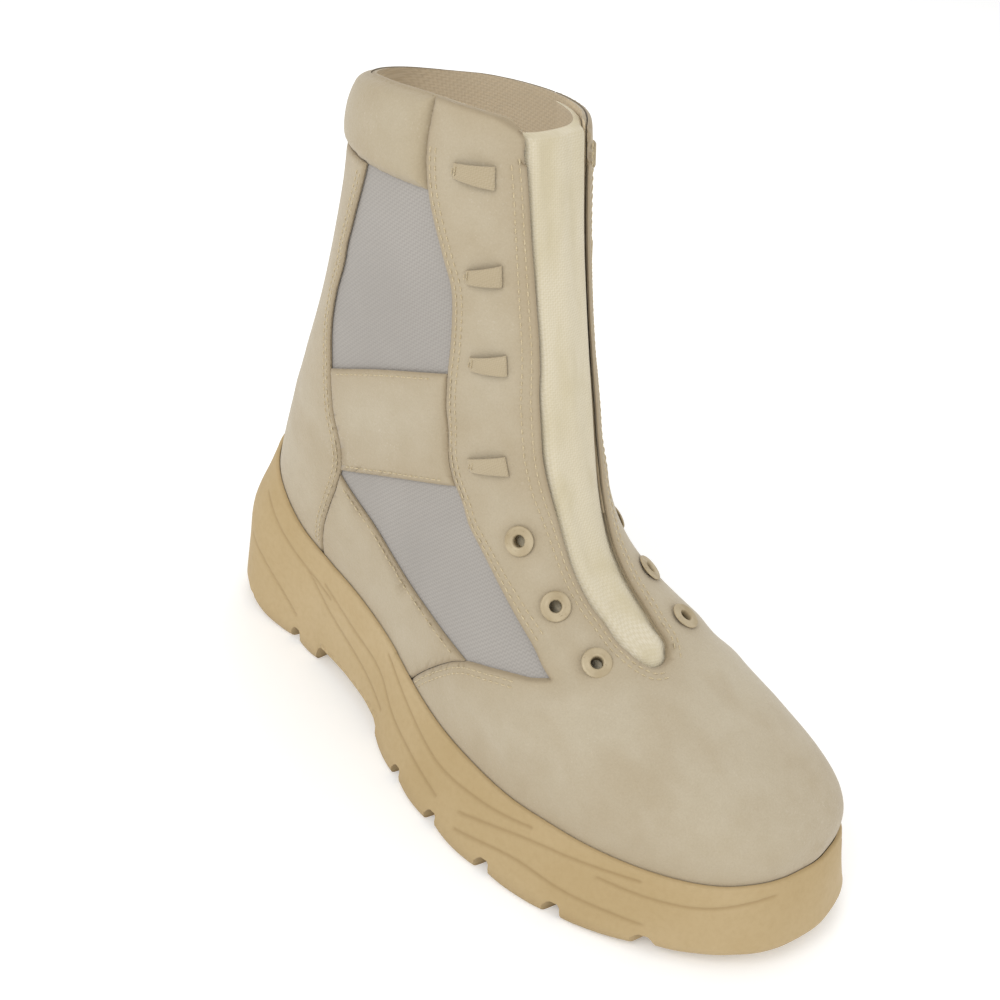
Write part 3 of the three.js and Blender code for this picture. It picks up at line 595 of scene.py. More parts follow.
def on_boot(v, u, height):
    """Points over the creased last, and its normals there."""
    normal = skin_normal(v, u)
    return skin(v, u) + normal * (np.asarray(height) + on_grid(CREASE, v, u))[..., None], normal


def gap_to(line, points):
    """How far points in a plane are from a line in it."""
    a, b = line[:-1], line[1:]
    span = b - a
    share = ((points[:, None, :] - a) * span).sum(-1) / (span * span).sum(-1)
    foot = a + span * np.clip(share, 0, 1)[..., None]
    return np.linalg.norm(points[:, None, :] - foot, axis=-1).min(1)


skin_tree = KDTree(GRID_SKIN.size // 3)
for number, point in enumerate(GRID_SKIN.reshape(-1, 3).tolist()):
    skin_tree.insert(point, number)
skin_tree.balance()
FLAT_SKIN = (GRID_SKIN + GRID_NORMAL * CREASE[..., None]).reshape(-1, 3)
FLAT_NORMAL = GRID_NORMAL.reshape(-1, 3)


def over_skin(points):
    """Rough heights over the creased last, and the way up, for points near it."""
    nearest = np.array([skin_tree.find(p)[1] for p in points.tolist()])
    normal = FLAT_NORMAL[nearest]
    return ((points - FLAT_SKIN[nearest]) * normal).sum(1), normal


def foot_of(points):
    """The sections and turns of the last straight under points."""
    nearest = np.array([skin_tree.find(p)[1] for p in points.tolist()], int)
    v, u = GRID_V.ravel()[nearest], GRID_U.ravel()[nearest]
    for _ in range(5):
        here = skin(v, u)
        by_v = (skin(np.minimum(v + 0.01, LAST_SECTION), u) - here) / 0.01
        by_u = (skin(v, u + 0.001) - here) / 0.001
        miss = points - here
        vv, vu, uu = (by_v * by_v).sum(1), (by_v * by_u).sum(1), (by_u * by_u).sum(1)
        pv, pu = (miss * by_v).sum(1), (miss * by_u).sum(1)
        det = np.maximum(vv * uu - vu * vu, 1e-3)
        v = np.clip(v + np.clip((pv * uu - pu * vu) / det, -0.2, 0.2), 0.01, LAST_SECTION - 0.01)
        u = u + np.clip((pu * vv - pv * vu) / det, -0.01, 0.01)
    return v, u


# Pieces from solids.

def placed(name, mesh, finishes):
    """An object in metres from a mesh in millimetres, set over the same origin as the solids."""
    mesh.name = name
    mesh.transform(Matrix.Scale(0.001, 4) @ Matrix.Translation(Vector(-MIDDLE)))
    mesh.materials.clear()
    for finish in finishes:
        mesh.materials.append(finish)
    piece = bpy.data.objects.new(name, mesh)
    bpy.context.scene.collection.objects.link(piece)
    return piece


def worn(piece, node=None):
    """Lets a piece ride on the boot, in place of a solid."""
    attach(piece, "root")
    if node:
        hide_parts(node)


def store(mesh, name, values):
    attribute = mesh.attributes.new(name, "FLOAT", "POINT")
    attribute.data.foreach_set("value", np.asarray(values, np.float32))


def marks_along(shape):
    """Points along a solid's sharp edges, in a tree."""
    marks = []
    for edge in shape.edges:
        if len(edge.link_faces) == 2 and edge.calc_face_angle(0) > SHARP_ANGLE:
            a, b = (v.co for v in edge.verts)
            steps = max(1, int((b - a).length / MARK_STEP))
            marks += [a.lerp(b, k / steps) for k in range(steps + 1)]
    tree = KDTree(len(marks))
    for number, mark in enumerate(marks):
        tree.insert(mark, number)
    tree.balance()
    return tree


def finer_by_edges(shape, tree, reach, longest):
    """Splits a layer's long mesh edges near its sharp ones, on its outer face."""
    bmesh.ops.triangulate(shape, faces=shape.faces[:])
    for _ in range(2):
        near = [v for v in shape.verts if tree.find(v.co)[2] < reach]
        if not near:
            return
        height, _ = over_skin(np.array([v.co[:] for v in near]))
        outer = {v for v, high in zip(near, height) if high > 0.9}
        long = {e for v in outer for e in v.link_edges
                if e.calc_length() > longest and e.other_vert(v) in outer}
        bmesh.ops.subdivide_edges(shape, edges=sorted(long, key=lambda e: e.index), cuts=1)
        bmesh.ops.triangulate(shape, faces=[f for f in shape.faces if len(f.verts) > 3])
        shape.edges.index_update()


def softened(solid, offset, middle, radius, drop):
    """A layer's mesh with its outer edges rounded over and the nearness of its edges on its points."""
    shape = bmesh.new()
    shape.from_mesh(solid.mesh)
    tree = marks_along(shape)
    if drop > 0.6:
        finer_by_edges(shape, tree, radius + 1.2, 1.1)
    shape.to_mesh(solid.mesh)
    shape.free()
    mesh = solid.mesh
    points = solid.points()
    gap = np.array([tree.find(p)[2] for p in points.tolist()])
    height, _ = over_skin(points)
    outer = np.flatnonzero(height > middle)
    v, u = foot_of(points[outer])
    level = on_grid(np.broadcast_to(offset, GRID_V.shape), v, u) + on_grid(CREASE, v, u)
    seated = skin(v, u) + skin_normal(v, u) * level[:, None]
    close = np.linalg.norm(seated - points[outer], axis=1) < 0.5
    share = np.clip(1 - gap[outer] / radius, 0, 1)
    points[outer] = np.where(close[:, None], seated, points[outer])
    points[outer] -= (drop * share * share)[:, None] * skin_normal(v, u)
    mesh.vertices.foreach_set("co", points.astype(np.float32).ravel())
    # Nearness of the layer's edges, which carries painted shade by its seams.
    store(mesh, "edge", np.exp(-gap / SEAM_FADE))
    # Nearness to the sole's rim, which carries painted shade low on the leather.
    rim = np.interp(points[:, 0], SOLE_TABLE[3:19, 0] * UPPER_LENGTH, SOLE_TABLE[3:19, 2] * RIM_HEIGHT)
    store(mesh, "foot", np.exp(-np.clip(points[:, 2] - rim, 0, 200) / FOOT_FADE))
    store(mesh, "rim", np.exp(-(gap / 1.0) ** 2))
    mesh.shade_smooth()
    mesh.set_sharp_from_angle(angle=math.radians(48))
    mesh.update()
    return mesh


# Finishes.

class Socket:
    """A value in a material that arithmetic builds on."""

    def __init__(self, finish, socket):
        self.finish = finish
        self.socket = socket

    def _math(self, operation, first, second):
        return self.finish.node("ShaderNodeMath", {"operation": operation}, {0: first, 1: second})

    def __add__(self, other):
        return self._math("ADD", self, other)

    def __radd__(self, other):
        return self._math("ADD", other, self)

    def __sub__(self, other):
        return self._math("SUBTRACT", self, other)

    def __rsub__(self, other):
        return self._math("SUBTRACT", other, self)

    def __mul__(self, other):
        return self._math("MULTIPLY", self, other)

    def __rmul__(self, other):
        return self._math("MULTIPLY", other, self)


def tone(red, green, blue):
    """A colour from its 0 to 255 values on a screen."""
    shares = [c / 255 for c in (red, green, blue)]
    return (*[c / 12.92 if c <= 0.04045 else ((c + 0.055) / 1.055) ** 2.4 for c in shares], 1)


class Finish:
    """A material: its nodes and the shader that they feed."""

    def __init__(self, name, **constants):
        self.material = bpy.data.materials.new(name)
        self.material.use_nodes = True
        self.tree = self.material.node_tree
        self.tree.nodes.clear()
        self.shader = self.tree.nodes.new("ShaderNodeBsdfPrincipled")
        for socket, value in constants.items():
            self.shader.inputs[socket.replace("_", " ")].default_value = value
        output = self.tree.nodes.new("ShaderNodeOutputMaterial")
        self.tree.links.new(self.shader.outputs[0], output.inputs[0])

    def node(self, kind, settings, inputs, output=0):
        made = self.tree.nodes.new(kind)
        for name, setting in settings.items():
            if name == "stops":
                ramp = made.color_ramp.elements
                while len(ramp) < len(setting):
                    ramp.new(0.5)
                for element, (place, colour) in zip(ramp, setting):
                    element.position = place
                    element.color = colour
            else:
                setattr(made, name, setting)
        for name, source in inputs.items():
            if isinstance(source, Socket):
                self.tree.links.new(source.socket, made.inputs[name])
            else:
                made.inputs[name].default_value = source
        return Socket(self, made.outputs[output])

    def place(self):
        return self.node("ShaderNodeTexCoord", {}, {}, "Object")

    def apart(self):
        at = self.node("ShaderNodeSeparateXYZ", {}, {0: self.place()})
        return [Socket(self, o) for o in at.socket.node.outputs]

    def noise(self, scale, detail=2.0, rough=0.5, vector=None):
        return self.node("ShaderNodeTexNoise", {}, {"Vector": vector or self.place(), "Scale": scale,
                                                    "Detail": detail, "Roughness": rough})

    def cells(self, scale, feature="F1", output="Distance"):
        return self.node("ShaderNodeTexVoronoi", {"feature": feature},
                         {"Vector": self.place(), "Scale": scale}, output)

    def stored(self, name):
        return self.node("ShaderNodeAttribute", {"attribute_name": name}, {}, "Fac")

    def between(self, value, low, high, to_low=0.0, to_high=1.0):
        return self.node("ShaderNodeMapRange", {}, {"Value": value, "From Min": low, "From Max": high,
                                                    "To Min": to_low, "To Max": to_high})

    def mix(self, share, first, second):
        return self.node("ShaderNodeMix", {"data_type": "RGBA"}, {0: share, 6: first, 7: second}, 2)

    def wave(self, value):
        return self._sine(value) * 0.5 + 0.5

    def _sine(self, value):
        return self.node("ShaderNodeMath", {"operation": "SINE"}, {0: value})

    def feed(self, **sources):
        for name, source in sources.items():
            self.tree.links.new(source.socket, self.shader.inputs[name.replace("_", " ")])
        return self

    def relief(self, height, depth, strength=1.0):
        bump = self.node("ShaderNodeBump", {}, {"Height": height, "Distance": depth, "Strength": strength})
        return self.feed(Normal=bump)


def suede(name, base, dark, light, raw=0.35):
    """Rough-out leather: nap, soft blotches, painted shade by its seams, by the sole's rim and in long
    streaks, and pale specks painted as sheen.
    """
    finish = Finish(name, Sheen_Weight=0.25, Sheen_Roughness=0.5, Specular_IOR_Level=0.25)
    blotch = finish.between(finish.noise(16, 3, 0.55), 0.38, 0.66)
    mottle = finish.between(finish.noise(90, 4, 0.6), 0.35, 0.68)
    nap = finish.noise(1500, 3, 0.65)
    seam = finish.stored("edge")
    rim = finish.stored("rim")
    colour = finish.mix(blotch * 0.55, base, dark)
    colour = finish.mix(mottle * 0.35, colour, light)
    # Painted shade of soft creases, in long streaks.
    stretched_place = finish.node("ShaderNodeMapping", {}, {"Vector": finish.place(), "Scale": (0.4, 1, 0.5)})
    shade_streak = finish.between(finish.noise(48, 2, 0.5, stretched_place), 0.5, 0.68)
    colour = finish.mix(shade_streak * 0.45, colour, dark)
    # Painted shade low on the leather, by the sole's rim.
    colour = finish.mix(finish.stored("foot") * 0.32, colour, dark)
    # Painted shade: darker by the seams between pieces.
    colour = finish.mix(seam * 0.7, colour, dark)
    colour = finish.mix(finish.between(nap, 0.3, 0.7) * 0.16, colour, tone(140, 120, 92))
    colour = finish.mix(rim * raw, colour, tone(122, 103, 76))
    # Pale specks painted as sheen on the nap.
    sheen_specks = finish.between(finish.noise(900, 3, 0.6), 0.6, 0.68)
    sheen_specks = sheen_specks * finish.between(finish.noise(24, 2), 0.56, 0.7)
    colour = finish.mix(sheen_specks * 0.2, colour, tone(220, 213, 198))
    finish.feed(Base_Color=colour, Roughness=0.82 + 0.14 * mottle)
    pores = finish.cells(700)
    finish.relief(nap * 0.6 + pores * 0.3 + finish.noise(220, 3) * 0.9, 0.0005, 0.55)
    return finish.material


def weave(name, base, dark, across, pitch, depth, shade_streak=0.0):
    """Woven cloth with its threads along Z and across it, each pitch metres apart, and where asked, painted
    shade of long folds in streaks.
    """
    finish = Finish(name, Specular_IOR_Level=0.3, Sheen_Weight=0.12)
    x, y, z = finish.apart()
    side = {"x": x, "y": y}[across]
    turn = 2 * math.pi / pitch
    drift = finish.noise(60, 2) * 0.0012
    warp = finish.wave((side + drift) * turn)
    weft = finish.wave((z + drift) * turn)
    over = finish.wave((side + z + drift) * (turn / 2))
    threads = warp * over + weft * (1 - over)
    blotch = finish.between(finish.noise(22, 3), 0.35, 0.68)
    fibre = finish.noise(1800, 3, 0.7)
    colour = finish.mix(finish.between(threads, 0.1, 0.8) * 0.5 + 0.5, dark, base)
    colour = finish.mix(blotch * 0.3, colour, dark)
    colour = finish.mix(fibre * 0.12, colour, dark)
    # Painted shade of long soft folds, stretched along Z.
    if shade_streak:
        drawn = finish.node("ShaderNodeMapping", {}, {"Vector": finish.place(), "Scale": (1, 1, 0.14)})
        drawn = finish.between(finish.noise(95, 2, 0.5, drawn), 0.45, 0.68)
        colour = finish.mix(drawn * shade_streak, colour, dark)
    finish.feed(Base_Color=colour, Roughness=0.86 + 0.1 * fibre)
    finish.relief(threads + fibre * 0.35, depth, 0.7)
    return finish.material


tan = suede("suede_tan", tone(185, 174, 151), tone(169, 153, 125), tone(196, 186, 166))
tan_cuff = suede("suede_cuff", tone(185, 175, 152), tone(168, 152, 123), tone(195, 185, 164), 0.15)
grey_cloth = weave("woven_grey", tone(169, 164, 158), tone(144, 139, 133), "x", 0.0011, 0.00014)
# The tongue's cloth carries painted shade of its folds.
cream_cloth = weave("woven_cream", tone(214, 205, 184), tone(193, 181, 149), "y", 0.0009, 0.00012, 0.6)
brown_lining = weave("knit_lining", tone(228, 213, 187), tone(208, 191, 161), "x", 0.0012, 0.00008)
footbed = weave("felt_footbed", tone(150, 134, 110), tone(124, 109, 88), "y", 0.0012, 0.00015)
webbing = weave("webbing_tan", tone(184, 170, 143), tone(164, 148, 119), "x", 0.0007, 0.00012)


def gum_rubber():
    finish = Finish("gum_rubber", Specular_IOR_Level=0.4)
    blotch = finish.between(finish.noise(14, 3, 0.55), 0.36, 0.66)
    speck = finish.noise(420, 3, 0.6)
    line = finish.stored("flow")
    # Darker towards the bottom of the sole, over its lowest 7 mm.
    darker_low = finish.stored("low")
    colour = finish.mix(blotch * 0.6, tone(185, 163, 124), tone(172, 148, 105))
    colour = finish.mix(finish.between(speck, 0.4, 0.75) * 0.2, colour, tone(160, 136, 92))
    colour = finish.mix(line * 0.5, colour, tone(146, 121, 80))
    colour = finish.mix(darker_low * 0.35, colour, tone(140, 118, 84))
    finish.feed(Base_Color=colour, Roughness=0.55 + 0.2 * blotch + 0.1 * speck)
    x, y, z = finish.apart()
    side = finish.node("ShaderNodeMath", {"operation": "ABSOLUTE"}, {0: y - 0.003})
    tread = finish.between(finish.wave((x + side * 0.6) * (2 * math.pi / 0.0075)), 0.3, 0.6)
    under = finish.between(z, 0.0012, 0.0002) + finish.between(z, 0.0115, 0.0105) * finish.stored("arch")
    finish.relief(speck * 0.12 + finish.noise(90, 2) * 0.15 + tread * under, 0.0012, 0.6)
    return finish.material


def thread_finish():
    finish = Finish("sewing_thread", Specular_IOR_Level=0.35, Sheen_Weight=0.2)
    twist = finish.noise(2600, 2)
    colour = finish.mix(finish.between(twist, 0.35, 0.65), tone(176, 158, 122), tone(206, 192, 160))
    finish.feed(Base_Color=colour, Roughness=0.7 + 0.15 * twist)
    finish.relief(twist, 0.0001, 0.6)
    return finish.material


def painted_metal():
    finish = Finish("painted_eyelet", Specular_IOR_Level=0.5)
    rub = finish.between(finish.noise(700, 4, 0.7), 0.62, 0.7)
    tint = finish.noise(160, 2)
    colour = finish.mix(finish.between(tint, 0.3, 0.7), tone(186, 171, 141), tone(166, 149, 117))
    colour = finish.mix(rub * 0.7, colour, tone(128, 112, 84))
    finish.feed(Base_Color=colour, Roughness=0.42 + 0.2 * tint, Metallic=0.15 + 0.5 * rub)
    finish.relief(finish.noise(1400, 3), 0.0001, 0.3)
    return finish.material


gum = gum_rubber()
thread = thread_finish()
eyelet_paint = painted_metal()


# The upper and what lies on it.

grid_side = sideways(GRID_SKIN).reshape(-1, 2)


def cuff_crown():
    """How far the padded cuff stands over its seams: low by them and full between."""
    gap = np.minimum(gap_to(cuff_seam, grid_side), gap_to(facing_line, grid_side))
    turn = np.array(lean.inverted())
    level = GRID_SKIN.reshape(-1, 3) @ turn[:3, :3].T + turn[:3, 3]
    gap = np.minimum(gap, gap_to(collar_edge, sideways(level)) * 1.3)
    return (2.6 * (1 - np.exp(-gap / 5.0)) - 1.1).reshape(GRID_V.shape)


leather_outer = form(FIT + LEATHER)
leather_inner = form(FIT)
throat = throat_prism(0)
leather_shell = leather_outer.cut(leather_inner).cut(throat).keep(over_feather(0)).keep(under_collar)


def stand(v, u):
    """A place on the boot and the turn that sets Z straight out of it."""
    centre, normal = on_boot(np.array([v]), np.array([u]), 0)
    return centre[0], np.array(Vector(normal[0]).to_track_quat("Z", "Y").to_matrix())


def round_hole(v, u, radius):
    centre, turn = stand(v, u)
    angles = np.linspace(0, 2 * np.pi, 40, endpoint=False)
    circle = np.stack([np.cos(angles), np.sin(angles), angles * 0], 1) * radius
    rings = [centre + (circle + (0, 0, z)) @ turn.T for z in (-12, 12)]
    return through_rings(rings)


eyelet_seats = []
for inner in (False, True):
    for number, sides in enumerate(EYELETS):
        x, across = sides[inner]
        v, u = seat([(x * UPPER_LENGTH, -across * BALL_WIDTH)], from_above, False, 0, (0.25, 0.5))
        name = f"eyelet_{'inner' if inner else 'outer'}_{number + 1}"
        eyelet_seats.append((name, float(v[0]), float(1 - u[0] if inner else u[0])))

textile = form(0).cut(form(-TEXTILE)).cut(throat_prism(0.5)).keep(under_collar)
lasting = form(-LASTING_MARGIN, 3)
lasting.mesh.transform(Matrix.Translation((0, 0, -LASTING_MARGIN - 2)))
textile = textile.cut(lasting)
front = leather_shell.keep(before(facing_seam))
for _, v, u in eyelet_seats:
    hole = round_hole(v, u, EYELET_HOLE)
    textile = textile.cut(hole)
    front = front.cut(hole)

side = leather_shell.keep(behind(facing_seam)).keep(before(counter_seam))
ankle_bands = side.keep(below(band_top_seam)).keep(above(band_foot_seam)).parts()
quarters = side.keep(below(quarter_seam)).parts()
counter = leather_shell.keep(behind(counter_seam)).keep(below(cuff_seam))
cuff = form(FIT + CUFF + cuff_crown()).cut(leather_inner)
cuff = cuff.keep(under_collar).keep(behind(facing_seam)).keep(above(cuff_seam))

upper_mesh = softened(textile, 0, -0.8, 1.2, 0.5)
upper = placed("upper_cloth", upper_mesh, [grey_cloth, brown_lining, tan_cuff])
worn(upper, "upper")


def line_inside(mesh):
    """The lining on the faces that look into the boot, and the binding on its cut edges."""
    normals = np.zeros(len(mesh.polygons) * 3, np.float32)
    centres = np.zeros(len(mesh.polygons) * 3, np.float32)
    mesh.polygons.foreach_get("normal", normals)
    mesh.polygons.foreach_get("center", centres)
    height, up = over_skin(centres.reshape(-1, 3) * 1000 + MIDDLE)
    facing = (normals.reshape(-1, 3) * up).sum(1)
    near = np.zeros(len(mesh.vertices), np.float32)
    mesh.attributes["rim"].data.foreach_get("value", near)
    by_rim = np.array([max(near[k] for k in face.vertices) > 0.6 for face in mesh.polygons])
    part = np.where((facing < -0.5) & (height < -0.3), 1, np.where(by_rim & (height > -1.7), 2, 0))
    mesh.polygons.foreach_set("material_index", part.astype(np.int32))


line_inside(upper_mesh)

LAYERS = [
    ("vamp_eyestay", front, tan, 1.1, 1.6, 0.75, "leather"),
    ("counter_backstay", counter, tan, 1.1, 1.6, 0.75, "leather"),
    ("collar_cuff", cuff, tan_cuff, 1.3, 4.2, 2.0, "padding"),
]
for name, solids in (("ankle_band", ankle_bands), ("quarter", quarters)):
    for solid in solids:
        inner = "inner" if solid.points()[:, 1].mean() > 0 else "outer"
        LAYERS.append((f"{name}_{inner}", solid, tan, 1.1, 1.6, 0.75, "leather"))
for name, solid, finish, middle, radius, drop, slot in LAYERS:
    offset = FIT + (CUFF + cuff_crown() if name == "collar_cuff" else LEATHER)
    piece = placed(f"{name}_fine", softened(solid, offset, middle, radius, drop), [finish])
    worn(piece, name)
    name == "collar_cuff"


# Tongue and insole.

def tongue_rise():
    """The tongue's soft middle, which fills the throat, with long shallow folds."""
    seen = head_on(GRID_SKIN).reshape(-1, 2)
    inside = np.interp(seen[:, 1], *throat_width)
    gap = inside - np.abs(seen[:, 0] - np.interp(seen[:, 1], *throat_centre))
    gap = np.where(seen[:, 1] < throat_edge[:, 1].min(), -1, gap)
    full = np.clip(gap / 4.5, 0, 1)
    full = np.sin(full * np.pi / 2)
    folds = 0.35 * np.sin(seen[:, 0] * 0.55 + 1.2 * np.sin(seen[:, 1] / 46)) * full
    return (TONGUE_RISE * full + folds).reshape(GRID_V.shape)


throat_rows = np.array(THROAT)
throat_up = in_plane(THROAT) @ BEND_UP[[0, 2]]
throat_width = (throat_up[::-1], throat_rows[::-1, 2])
throat_centre = (throat_up[::-1], throat_rows[::-1, 3])
FRONT_ROOM = from_side([(UPPER_LENGTH / 3, 0), (UPPER_LENGTH, 0), (UPPER_LENGTH, TONGUE_TOP),
                        (UPPER_LENGTH / 3, TONGUE_TOP)])
tongue_bed = -TEXTILE - FIT
tongue_level = tongue_bed + np.where(np.cos(2 * np.pi * GRID_U) < 0, tongue_rise(), 0)
tongue = form(tongue_level)
tongue = tongue.cut(form(tongue_bed - TONGUE))
tongue_outline = moved(throat_edge, TONGUE_OVERLAP)
tongue_outline[:, 1] -= np.where(tongue_outline[:, 1] < throat_up[7], TONGUE_FOOT - TONGUE_OVERLAP, 0)
tongue = tongue.keep(prism(tongue_outline, (0, 1, 0), BEND_UP, BEND_START, 2 * UPPER_LENGTH)).keep(FRONT_ROOM)
tongue = max(tongue.parts(), key=lambda s: len(s.mesh.vertices))
tongue_mesh = softened(tongue, tongue_level, -3, 2.0, 1.0)
tongue_piece = placed("tongue_fine", tongue_mesh, [cream_cloth, brown_lining, cream_cloth])
line_inside(tongue_piece.data)
worn(tongue_piece, "tongue")

insole = form(-TEXTILE - FIT).keep(over_foot(TEXTILE + FIT)).keep(under_foot(TEXTILE + FIT + INSOLE))
worn(placed("insole_fine", softened(insole, 0, 100, 2.0, 0.0), [footbed]), "insole")


# Sole.

rim_tree = BVHTree.FromPolygons([tuple(p) for p in leather_outer.points().tolist()],
                                [tuple(f.vertices) for f in leather_outer.mesh.polygons])
LUG_ENDS = [0.017, 0.135, 0.192, 0.391, 0.475, 0.576, 0.685, 0.793, 0.91, 1.02]


def lug_swell(x):
    """How far a lug's foot stands out, most between the grooves beside it."""
    share = np.interp(x / UPPER_LENGTH, LUG_ENDS, np.arange(len(LUG_ENDS))) % 1
    return 1.6 * (1 - abs(2 * share - 1) ** 2.2)


def sole_wall(r, side):
    """Points up the sole's side from the tread to the rim's lip, and the spine's place."""
    spine, turn, rim, _, outer, inner, swell = along_rows(SOLE_STATIONS, r)
    low, high = SOLE_STATIONS[int(math.floor(r))][3], SOLE_STATIONS[int(math.ceil(r))][3]
    lift = (low + (high - low) * (r % 1)) * WAIST_LIFT
    rim *= RIM_HEIGHT
    spine *= UPPER_LENGTH
    share = spine / UPPER_LENGTH
    spine_y = SPINE_HEEL * (1 - share) + SPINE_TOE * share
    angle = math.radians(turn) * side
    way = np.array([math.cos(angle), math.sin(angle), 0])
    hit = rim_tree.ray_cast(Vector((spine, spine_y, rim)), Vector(way))
    reach = hit[3] + LIP
    flare = (outer if side < 0 else inner) * SOLE_FLARE
    tall = rim - lift
    foot = lug_swell(spine + way[0] * reach)
    outs, heights = [], []
    for back, z in [(4.2, 0), (2.2, 0.15), (1.0, 0.8), (0.3, 2.0), (0, 3.8)]:
        outs.append(flare - back + foot * math.exp(-z / 6))
        heights.append(lift + z)
    curve = np.linspace(0, 1, 61)[1:]
    profile = np.array([(flare, 3.8), (flare * (0.55 + 0.45 * swell), tall * 0.32),
                        (flare * swell, tall * 0.57), (flare * swell * 0.38, tall * 0.82), (0.0, tall - 1.6)])
    for out, z in along_rows(profile, curve * 4):
        outs.append(out + foot * math.exp(-z / 6))
        heights.append(lift + z)
    for out, z in [(-0.12, 0.9), (-0.45, 0.35), (-0.95, 0.08), (-1.5, 0)]:
        outs.append(out)
        heights.append(rim - z)
    base = np.array([spine, spine_y, 0])
    return base + way * (reach + np.array(outs))[:, None] + np.array([0, 0, 1]) * np.array(heights)[:, None]


def sole_solid():
    per = 14
    last = len(SOLE_STATIONS) - 1
    steps = np.linspace(0, last, last * per + 1)
    outer = [sole_wall(r, -1) for r in steps]
    inner = [sole_wall(r, 1) for r in steps[1:-1]][::-1]
    walls = np.array(outer + inner)
    n, levels = walls.shape[:2]
    index = np.arange(n * levels).reshape(n, levels)
    after = np.roll(index, -1, axis=0)
    faces = np.stack([index[:, :-1], after[:, :-1], after[:, 1:], index[:, 1:]], -1).reshape(-1, 4).tolist()
    for level, flip in ((0, True), (levels - 1, False)):
        for i in range(len(outer) - 1):
            quad = (i % n, i + 1, (n - i - 1) % n, (n - i) % n)
            corners = list(dict.fromkeys(int(index[q][level]) for q in quad))
            faces.append(corners[::-1] if flip else corners)
    return Solid(walls.reshape(-1, 3), [tuple(f) for f in faces])


def groove(share, side):
    """A tread groove with a rounded bed, cut in from the edge."""
    half = [(0.2, 1), (0.38, 0.85), (0.5, 0.55), (0.5, -1)]
    profile = [(-a, b) for a, b in half[::-1]] + half
    turn = math.radians(side * GROOVE_TURN)
    along = np.array([-math.sin(turn), math.cos(turn), 0])
    across = np.array([math.cos(turn), math.sin(turn), 0])
    toe = max(share - 0.85, 0) * 34
    y = side * (0.36 if share < 0.2 else 0.5) * BALL_WIDTH + (7 - side * 12 if share > 0.85 else 2)
    centre = np.array([share * UPPER_LENGTH, y, toe])
    rings = []
    for end in (-GROOVE_LENGTH / 2, GROOVE_LENGTH / 2):
        rings.append([centre + along * end + across * GROOVE_WIDTH * a
                      + np.array([0, 0, 1]) * GROOVE_DEPTH * b for a, b in profile])
    return through_rings(rings)


cavity = form(FIT).join(form(FIT + LEATHER + FIT).keep(over_feather(FIT)))
sole = sole_solid().cut(cavity)
waist_line = np.array(WAIST) * (UPPER_LENGTH, 1)
sole = sole.cut(from_side([*waist_line, (waist_line[-1][0], FAR_FLOOR), (waist_line[0][0], FAR_FLOOR)]))
for share in GROOVES:
    for side_sign in (-1, 1):
        sole = sole.cut(groove(share, side_sign))
sole_mesh = sole.mesh
sole_points = sole.points()


def press_flow_lines(points):
    """Presses the flow lines into the wall's outer side, and gives how near each point is to one."""
    centre = np.interp(points[:, 0], (0, UPPER_LENGTH), (SPINE_HEEL, SPINE_TOE))
    away = points - np.stack([np.clip(points[:, 0], HEEL_TURN, TOE_TURN), centre, points[:, 2]], 1)
    away /= np.maximum(np.linalg.norm(away, axis=1, keepdims=True), 1e-6)
    gap = np.full(len(points), 99.0)
    for line in FLOW_LINES:
        gap = np.minimum(gap, gap_to(curved(np.array(line) * (UPPER_LENGTH, 1)), sideways(points)))
    near = np.exp(-(gap / FLOW_WIDTH) ** 2)
    points -= away * (FLOW_DEPTH * near)[:, None]
    return near


flow = press_flow_lines(sole_points)
sole_mesh.vertices.foreach_set("co", sole_points.astype(np.float32).ravel())
store(sole_mesh, "flow", flow)
# How near each point is to the bottom, which darkens the rubber there.
store(sole_mesh, "low", np.clip(1 - sole_points[:, 2] / 7, 0, 1))
store(sole_mesh, "arch", np.interp(sole_points[:, 0] / UPPER_LENGTH, (0.19, 0.2, 0.37, 0.39), (0, 1, 1, 0)))
sole_mesh.shade_smooth()
sole_mesh.set_sharp_from_angle(angle=math.radians(42))
worn(placed("outsole_fine", sole_mesh, [gum]), "outsole")


# Eyelets, lace loops and stitches.

def joined_mesh(name, blocks):
    """One mesh from blocks of points and faces."""
    points, faces, start = [], [], 0
    for block, block_faces in blocks:
        points.append(block)
        faces += [tuple(int(k) + start for k in f) for f in block_faces]
        start += len(block)
    mesh = bpy.data.meshes.new(name)
    mesh.from_pydata(np.concatenate(points).tolist(), [], faces)
    mesh.shade_smooth()
    return mesh


def ring_faces(count, n, closed_rings=False):
    index = np.arange(count * n).reshape(count, n)
    after = np.roll(index, -1, axis=1)
    if closed_rings:
        up, up_after = np.roll(index, -1, axis=0), np.roll(after, -1, axis=0)
        return np.stack([index, after, up_after, up], -1).reshape(-1, 4).tolist()
    return bands(index, after) + [index[0][::-1].tolist(), index[-1].tolist()]


EYELET_RING = [
    (2.3, -1.4), (3.0, -1.4), (3.0, 2.2), (3.3, 2.45), (5.3, 2.45), (5.7, 2.55), (5.8, 2.85), (5.6, 3.15),
    (5.0, 3.3), (4.4, 3.2), (3.7, 3.25), (3.2, 3.5), (2.7, 3.4), (2.38, 3.0), (2.3, 2.3),
]


def eyelet_block(v, u):
    centre, turn = stand(v, u)
    angles = np.linspace(0, 2 * np.pi, 48, endpoint=False)
    rings = []
    for a in angles:
        rings.append([np.array([math.cos(a) * r, math.sin(a) * r, h]) for r, h in EYELET_RING])
    points = centre + np.array(rings).reshape(-1, 3) @ turn.T
    return points, ring_faces(48, len(EYELET_RING), closed_rings=True)


for name, v, u in eyelet_seats:
    mesh = joined_mesh(name, [eyelet_block(v, u)])
    mesh.flip_normals()
    worn(placed(f"{name}_fine", mesh, [eyelet_paint]), name)


